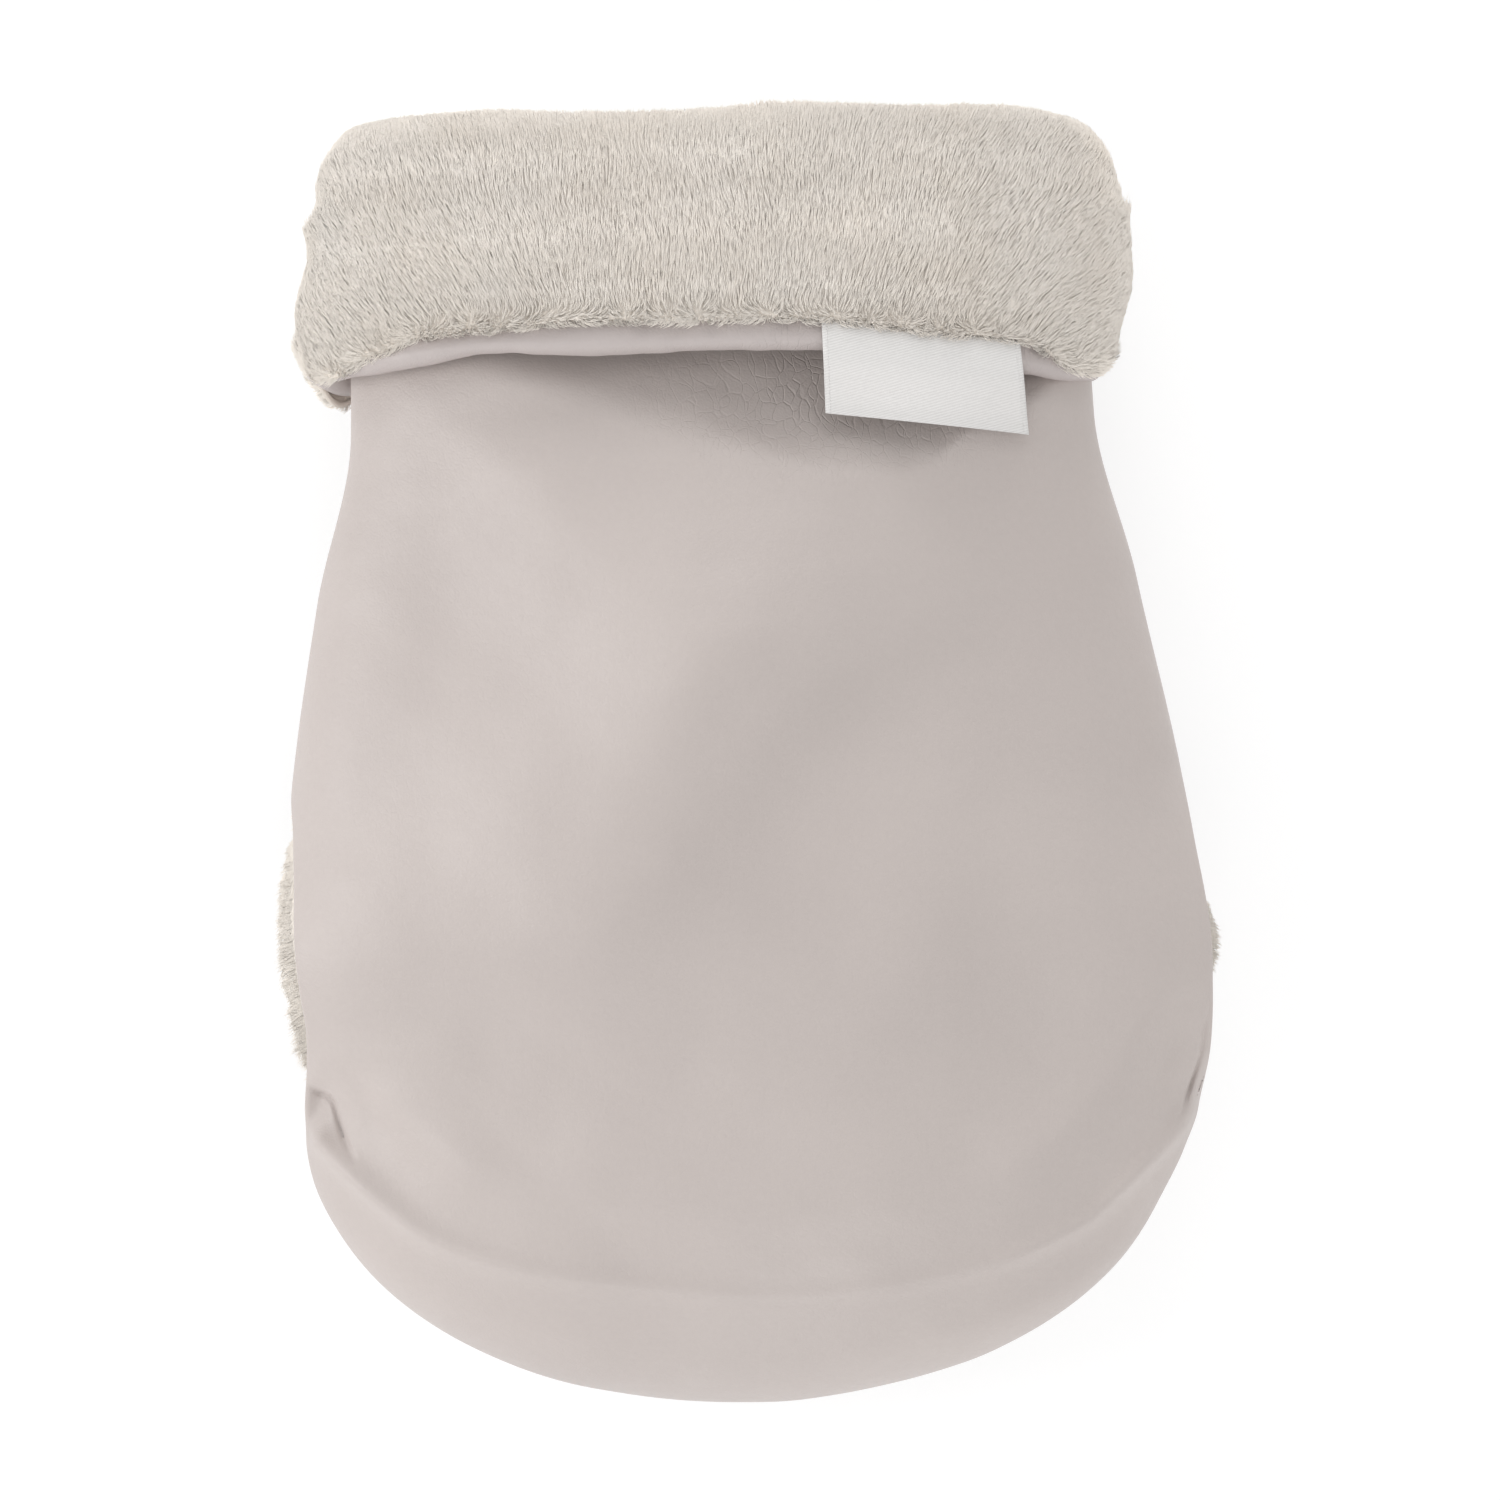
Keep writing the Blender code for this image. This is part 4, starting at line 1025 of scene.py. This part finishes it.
# Stations of (x, move along the muff): the lower edge of the plush and of the hem, what the plush hangs
# lower underneath, and the top; then of (y, sideways move) at the cuff's right end
PLUSH_DROP = [
    (-0.150, -0.0045), (-0.1403, -0.0060), (-0.1370, -0.0120), (-0.1335, -0.0150), (-0.1297, -0.0150),
    (-0.1209, -0.0104), (-0.1110, -0.0060), (-0.0991, -0.0010), (-0.0774, 0.0006), (0.0, 0.0),
    (0.035, -0.0020), (0.070, -0.0066), (0.0987, -0.0116), (0.108, -0.0136), (0.115, -0.0160),
    (0.121, -0.0186), (0.128, -0.0208), (0.135, -0.0214), (0.1403, -0.0190), (0.150, -0.0175),
]
HEM_DROP = [
    (-0.150, -0.0040), (-0.130, -0.0035), (-0.118, -0.0025), (-0.1075, -0.0015), (-0.080, 0.0015),
    (-0.050, 0.0003), (0.0, 0.0), (0.035, -0.0010), (0.070, -0.0050), (0.1045, -0.0107),
    (0.125, -0.0124), (0.150, -0.0125),
]
UNDER_DROP = [(-0.137, -0.0050), (-0.130, -0.0092), (-0.122, -0.0090), (-0.105, 0.0), (0.150, 0.0)]
TOP_DROP = [
    (-0.145, -0.0235), (-0.137, -0.0145), (-0.1327, -0.0090), (-0.124, -0.0042), (-0.115, -0.0024),
    (-0.104, -0.0018), (-0.084, -0.0015), (-0.064, -0.0021), (-0.044, -0.0037), (-0.024, -0.0042),
    (0.016, -0.0039), (0.037, -0.0046), (0.057, -0.0045), (0.077, -0.0046), (0.097, -0.0056),
    (0.107, -0.0065), (0.117, -0.0078), (0.127, -0.0112), (0.1327, -0.0160), (0.1375, -0.0215),
    (0.145, -0.0285),
]
RIGHT_CUFF = [
    (0.120, -0.0110), (0.128, -0.0098), (0.136, -0.0080), (0.145, -0.0084), (0.155, -0.0056),
    (0.165, -0.0015), (0.175, 0.0018), (0.186, 0.0024), (0.192, 0.0018), (0.200, 0.0030), (0.220, 0.0026),
]


def drooped(points, drop):
    """The cuff's lower edge hangs lower at its two ends, its top corners are round, its ends uneven."""
    out = settled(points)
    x, y = points[..., 0], points[..., 1]
    low = 1 - step(CUFF_LOW - MID + 0.002, 0.185, y)
    under = 1 - step(0.034, 0.056, points[..., 2])
    share = 1.0 if drop is PLUSH_DROP else 0.35
    hang = (curve(drop, x) + under * curve(UNDER_DROP, x) * share) * low
    out[..., 1] += hang + curve(TOP_DROP, x) * step(0.175, 0.218, y) + 0.0020 * step(0.195, 0.218, y)
    left = -0.0030 * hump(0.140, 0.03, y)
    right = curve(RIGHT_CUFF, y)
    out[..., 0] += step(0.09, 0.135, np.abs(x)) * np.where(x < 0, left, right)
    return out


# The cuff's cloth: its face outside and inside the mouth, its lowest row and the height of its roll
FACE_OUT, FACE_IN = CUFF_OUT - 0.0006, -(SHELL + GAP + 0.0025)
LOWEST = CUFF_LOW + HEM_HEIGHT + 0.0016
ROLL_RISE = 0.0180 - 0.0030


def cuff_profile():
    """(Height, distance out) from the lower edge, up the outside, over the roll and down inside the mouth."""
    made = [(LOWEST, FACE_OUT - 0.0030), (LOWEST + 0.0004, FACE_OUT - 0.0014)]
    made += [(LOWEST + 0.0016 + (ROLL_START - LOWEST - 0.0016) * k / 26, FACE_OUT) for k in range(27)]
    for k in range(1, 25):
        turn = math.pi * k / 24
        out = (FACE_OUT + FACE_IN) / 2 + (FACE_OUT - FACE_IN) / 2 * math.cos(turn)
        made.append((ROLL_START + ROLL_RISE * math.sin(turn), out))
    return made + [(ROLL_START - 0.002 * k, FACE_IN) for k in range(1, 5)]


plain = ring(cuff_profile())
swell = 0.0009 * ripple(plain, 0.050, 41)
swell = swell + 0.0018 * hump(0.163, 0.012, plain[..., 1]) - 0.0012 * hump(0.180, 0.014, plain[..., 1])
base = drooped(plain + normals(plain, closed=True) * swell[..., None], PLUSH_DROP)
n = normals(base, closed=True)
cuff_base = solid("cuff_plush_cloth", base, base - n * 0.0020, backing, closed=True)
declare(cuff_base, on_pouch, ["cuff_plush", "cuff_wadding"])

# The cuff's pile runs along its profile and leans to both sides; at its lower edge it is short and stands out
LEAN = [
    (-0.14, 0.75), (-0.09, 0.42), (-0.04, 0.08), (0.02, -0.04), (0.07, -0.40), (0.10, -0.70), (0.14, -1.0)
]
EDGE_ROWS = 20
comb = np.gradient(base, axis=0)
comb /= np.maximum(np.linalg.norm(comb, axis=-1, keepdims=True), 1e-9)
across = np.cross(n, comb)
lean = np.where(n[..., 2] > 0, curve(LEAN, base[..., 0]), 0.0)
low_edge = 1 - step(0.0006, 0.0050, plain[..., 1] + MID - LOWEST) * (plain[..., 1] < 0.204)
low_edge *= (np.arange(len(base)) < EDGE_ROWS)[:, None]
comb = comb - across * (lean * np.sign(across[..., 0]))[..., None]
comb = comb * (1 - 0.6 * low_edge)[..., None] + across * (1.2 * low_edge * ripple(base, 0.012, 77))[..., None]
facing = np.clip(n[..., 2], 0, 1)
thick = 0.45 + 0.75 * facing + 0.5 * step(0.19, 0.215, base[..., 1]) + 0.7 * low_edge
stand = 0.16 - 0.30 * step(0.200, 0.216, base[..., 1]) + 1.0 * low_edge
cuff_shape = {"lift": stand, "weight": thick, "closed": True, "trim": 1 - 0.38 * low_edge}
for piece in hairs("cuff_pile", base, n, comb, 130000, 42, 0.0062, 0.00021, **cuff_shape):
    declare(piece, on_pouch)

# The hem: the cuff's facing, from inside the mouth round its lower edge and up under the plush
HEM_OUT, HEM_IN, HEM_ROUND = CUFF_OUT - 0.0022, 0.001, 0.0045


def hem_profile():
    """(Height, distance out) from behind the cuff, round the lower edge and up to the plush."""
    middle, swing = (HEM_OUT + HEM_IN) / 2, (HEM_OUT - HEM_IN) / 2
    made = [(TOP - (TOP - CUFF_LOW - HEM_ROUND) * k / 6, HEM_IN) for k in range(6)]
    for k in range(17):
        turn = math.pi * k / 16
        made.append((CUFF_LOW + HEM_ROUND - HEM_ROUND * math.sin(turn), middle - swing * math.cos(turn)))
    return made + [(CUFF_LOW + HEM_ROUND + HEM_ROUND * k / 3, HEM_OUT - 0.0004 * k) for k in (1, 2, 3, 4, 5)]


hem_plain = ring(hem_profile())
hem_n = normals(hem_plain, closed=True)
wave = 0.0004 * ripple(hem_plain, 0.045, 51) + 0.00015 * ripple(hem_plain, 0.015, 52)
wave = wave * step(0.004, 0.010, np.linalg.norm(hem_plain - hem_plain[:1], axis=-1))
hem_outer = drooped(hem_plain + hem_n * wave[..., None], HEM_DROP)
hem_inner = drooped(hem_plain + hem_n * (wave - 0.0010)[..., None], HEM_DROP)
hem = solid("cuff_hem", hem_outer, hem_inner, hem_hide, closed=True)
declare(hem, on_pouch, ["cuff_facing"])

# The bare label


# The label's left and right edge: x at its top, and how far it leans outwards per metre down
LABEL_LEFT, LABEL_RIGHT = (0.0346, 0.013), (0.1015, 0.080)


def label_grid(lift, rows=26, columns=48):
    """The label's face this far out: from its seam over the hem and down on to the front."""
    y = np.linspace(0, LABEL_L, rows)[:, None]
    x = np.linspace(-LABEL_W / 2, LABEL_W / 2, columns)[None, :]
    share = (x + LABEL_W / 2) / LABEL_W
    left, right = (x_top + leans * y for x_top, leans in (LABEL_LEFT, LABEL_RIGHT))
    meant = (1 - share) * left + share * right
    across = meant - 0.006 * share
    h = CUFF_LOW + HEM_HEIGHT - share * 0.0090 - y
    start = HEM_OUT + 0.0006
    out = curve([(0, HEM_OUT - 0.0004), (0.0045, start), (0.0090, start), (LABEL_L, 0.0030)], y + 0 * x)
    out = out + lift + 0.0006 * np.sin(3.1 * x / 0.035 + 1) * step(0.006, 0.03, y)

    def up(place):
        return crown(h) * np.clip(1 - np.clip(place / half_width(h), 0, 1) ** FULLNESS, 0, None) ** 0.5

    for _ in range(4):
        slope = (up(across + 1e-4) - up(across)) / 1e-4
        size = np.hypot(slope, 1)
        across = meant + slope / size * out
    return np.stack([meant, h - MID, seam(h) + up(across) + out / size], -1)


top_face, under_face = label_grid(0.0005), label_grid(0.0)
label = solid("woven_label_cloth", top_face, under_face, label_cloth)
uv = label.data.uv_layers.new(name="label")
spots = np.empty(len(label.data.loops), np.int32)
label.data.loops.foreach_get("vertex_index", spots)
rows, columns = top_face.shape[:2]
spots = spots % (rows * columns)
flat = np.stack([(spots % columns) / (columns - 1) * LABEL_W, (spots // columns) / (rows - 1) * LABEL_L], -1)
uv.data.foreach_set("uv", flat.astype(np.float32).reshape(-1))
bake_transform(label)
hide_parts("woven_label")

for name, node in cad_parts.items():
    if name.startswith("snap_"):
        node.data.materials.clear()
        node.data.materials.append(metal)

# Floor, lights and camera

# The light all round, and how much more there is near the horizon
WORLD, RING = 0.54, 0.55
# The floor's shade for the light it gives back and for what the camera sees of it, and its own glow there
FLOOR_LIT, FLOOR_DARKER, FLOOR_GLOW = 0.90, 0.56, 0.74


def seen_ray(tree):
    """1 for what the camera sees, also through and in shiny things, 0 for the light that falls on things."""
    path = add(tree, "LightPath")
    seen = maths(tree, "MAXIMUM", path.outputs["Is Camera Ray"], path.outputs["Is Glossy Ray"])
    return maths(tree, "MAXIMUM", seen, path.outputs["Is Transmission Ray"])


def floor_plane():
    """A wide floor just under the muff that the camera sees as white."""
    mesh = bpy.data.meshes.new("floor")
    mesh.from_pydata([(-4, -4, 0), (4, -4, 0), (4, 4, 0), (-4, 4, 0)], [], [(0, 1, 2, 3)])
    floor = bpy.data.objects.new("floor", mesh)
    bpy.context.scene.collection.objects.link(floor)
    floor.location.z = -0.0004
    made, tree, shader = nodes_of("floor")
    tree.nodes.remove(shader)
    seen = seen_ray(tree)
    lit = maths(tree, "SUBTRACT", FLOOR_LIT, maths(tree, "MULTIPLY", seen, FLOOR_DARKER))
    shade = add(tree, "CombineColor", {0: lit, 1: lit, 2: lit})
    diffuse = add(tree, "BsdfDiffuse", {"Color": shade.outputs[0]})
    glow = add(tree, "Emission", {"Strength": maths(tree, "MULTIPLY", seen, FLOOR_GLOW)})
    both = add(tree, "AddShader", {0: diffuse.outputs[0], 1: glow.outputs[0]})
    tree.links.new(both.outputs[0], tree.nodes["Material Output"].inputs["Surface"])
    mesh.materials.append(made)


def studio_light():
    """The world: white for the camera, a soft tent of light for the muff."""
    world = bpy.data.worlds.new("studio")
    bpy.context.scene.world = world
    world.use_nodes = True
    tree = world.node_tree
    back_light = tree.nodes["Background"]
    seen = seen_ray(tree)
    ray = add(tree, "SeparateXYZ", {0: add(tree, "TexCoord").outputs["Generated"]})
    low = maths(tree, "SUBTRACT", 1.0, maths(tree, "ABSOLUTE", ray.outputs["Z"]))
    tent = maths(tree, "ADD", WORLD, maths(tree, "MULTIPLY", maths(tree, "MULTIPLY", low, low), RING))
    level = add(tree, "Mix", {"Factor": seen, "A": tent, "B": 1.0})
    tree.links.new(level.outputs["Result"], back_light.inputs["Strength"])
    back_light.inputs["Color"].default_value = (1, 1, 1, 1)


def lamp(name, place, size, power):
    """A round soft light of this size and power that looks at the muff."""
    data = bpy.data.lights.new(name, "AREA")
    data.shape, data.size, data.energy = "DISK", size, power
    made = bpy.data.objects.new(name, data)
    bpy.context.scene.collection.objects.link(made)
    made.location = place
    made.rotation_euler = (Vector(MIDDLE) - Vector(place)).to_track_quat("-Z", "Y").to_euler()


floor_plane()
studio_light()
lamp("key", (-1.25, 0.0, 0.75), 0.8, 7.4)
lamp("right_light", (1.25, 0.0, 0.60), 0.8, 1.2)
lamp("toe_light", (0.1, -1.25, 0.75), 0.8, 4.0)
lamp("top_light", (0.1, 1.20, 0.90), 0.8, 2.4)
lamp("low_top_light", (0.1, 1.35, 0.35), 0.6, 4.4)

# The photo's scale, its width in pixels, and the muff's slight turn in it
PIXEL, PHOTO_WIDTH = 0.000345, 1500
ROLL = math.radians(-2.0)
DISTANCE, SENSOR = 2.2, 36.0
camera_data = bpy.data.cameras.new("camera")
camera_data.sensor_width = SENSOR
camera_data.lens = SENSOR * DISTANCE / (PHOTO_WIDTH * PIXEL)
camera_data.clip_start, camera_data.clip_end = 0.05, 20
camera = bpy.data.objects.new("camera", camera_data)
bpy.context.scene.collection.objects.link(camera)
camera.location = (0.00557, 0.00236, MIDDLE[2] + DISTANCE)
camera.rotation_euler = (0, 0, ROLL)
bpy.context.scene.camera = camera
bpy.context.scene.view_settings.view_transform = "Standard"
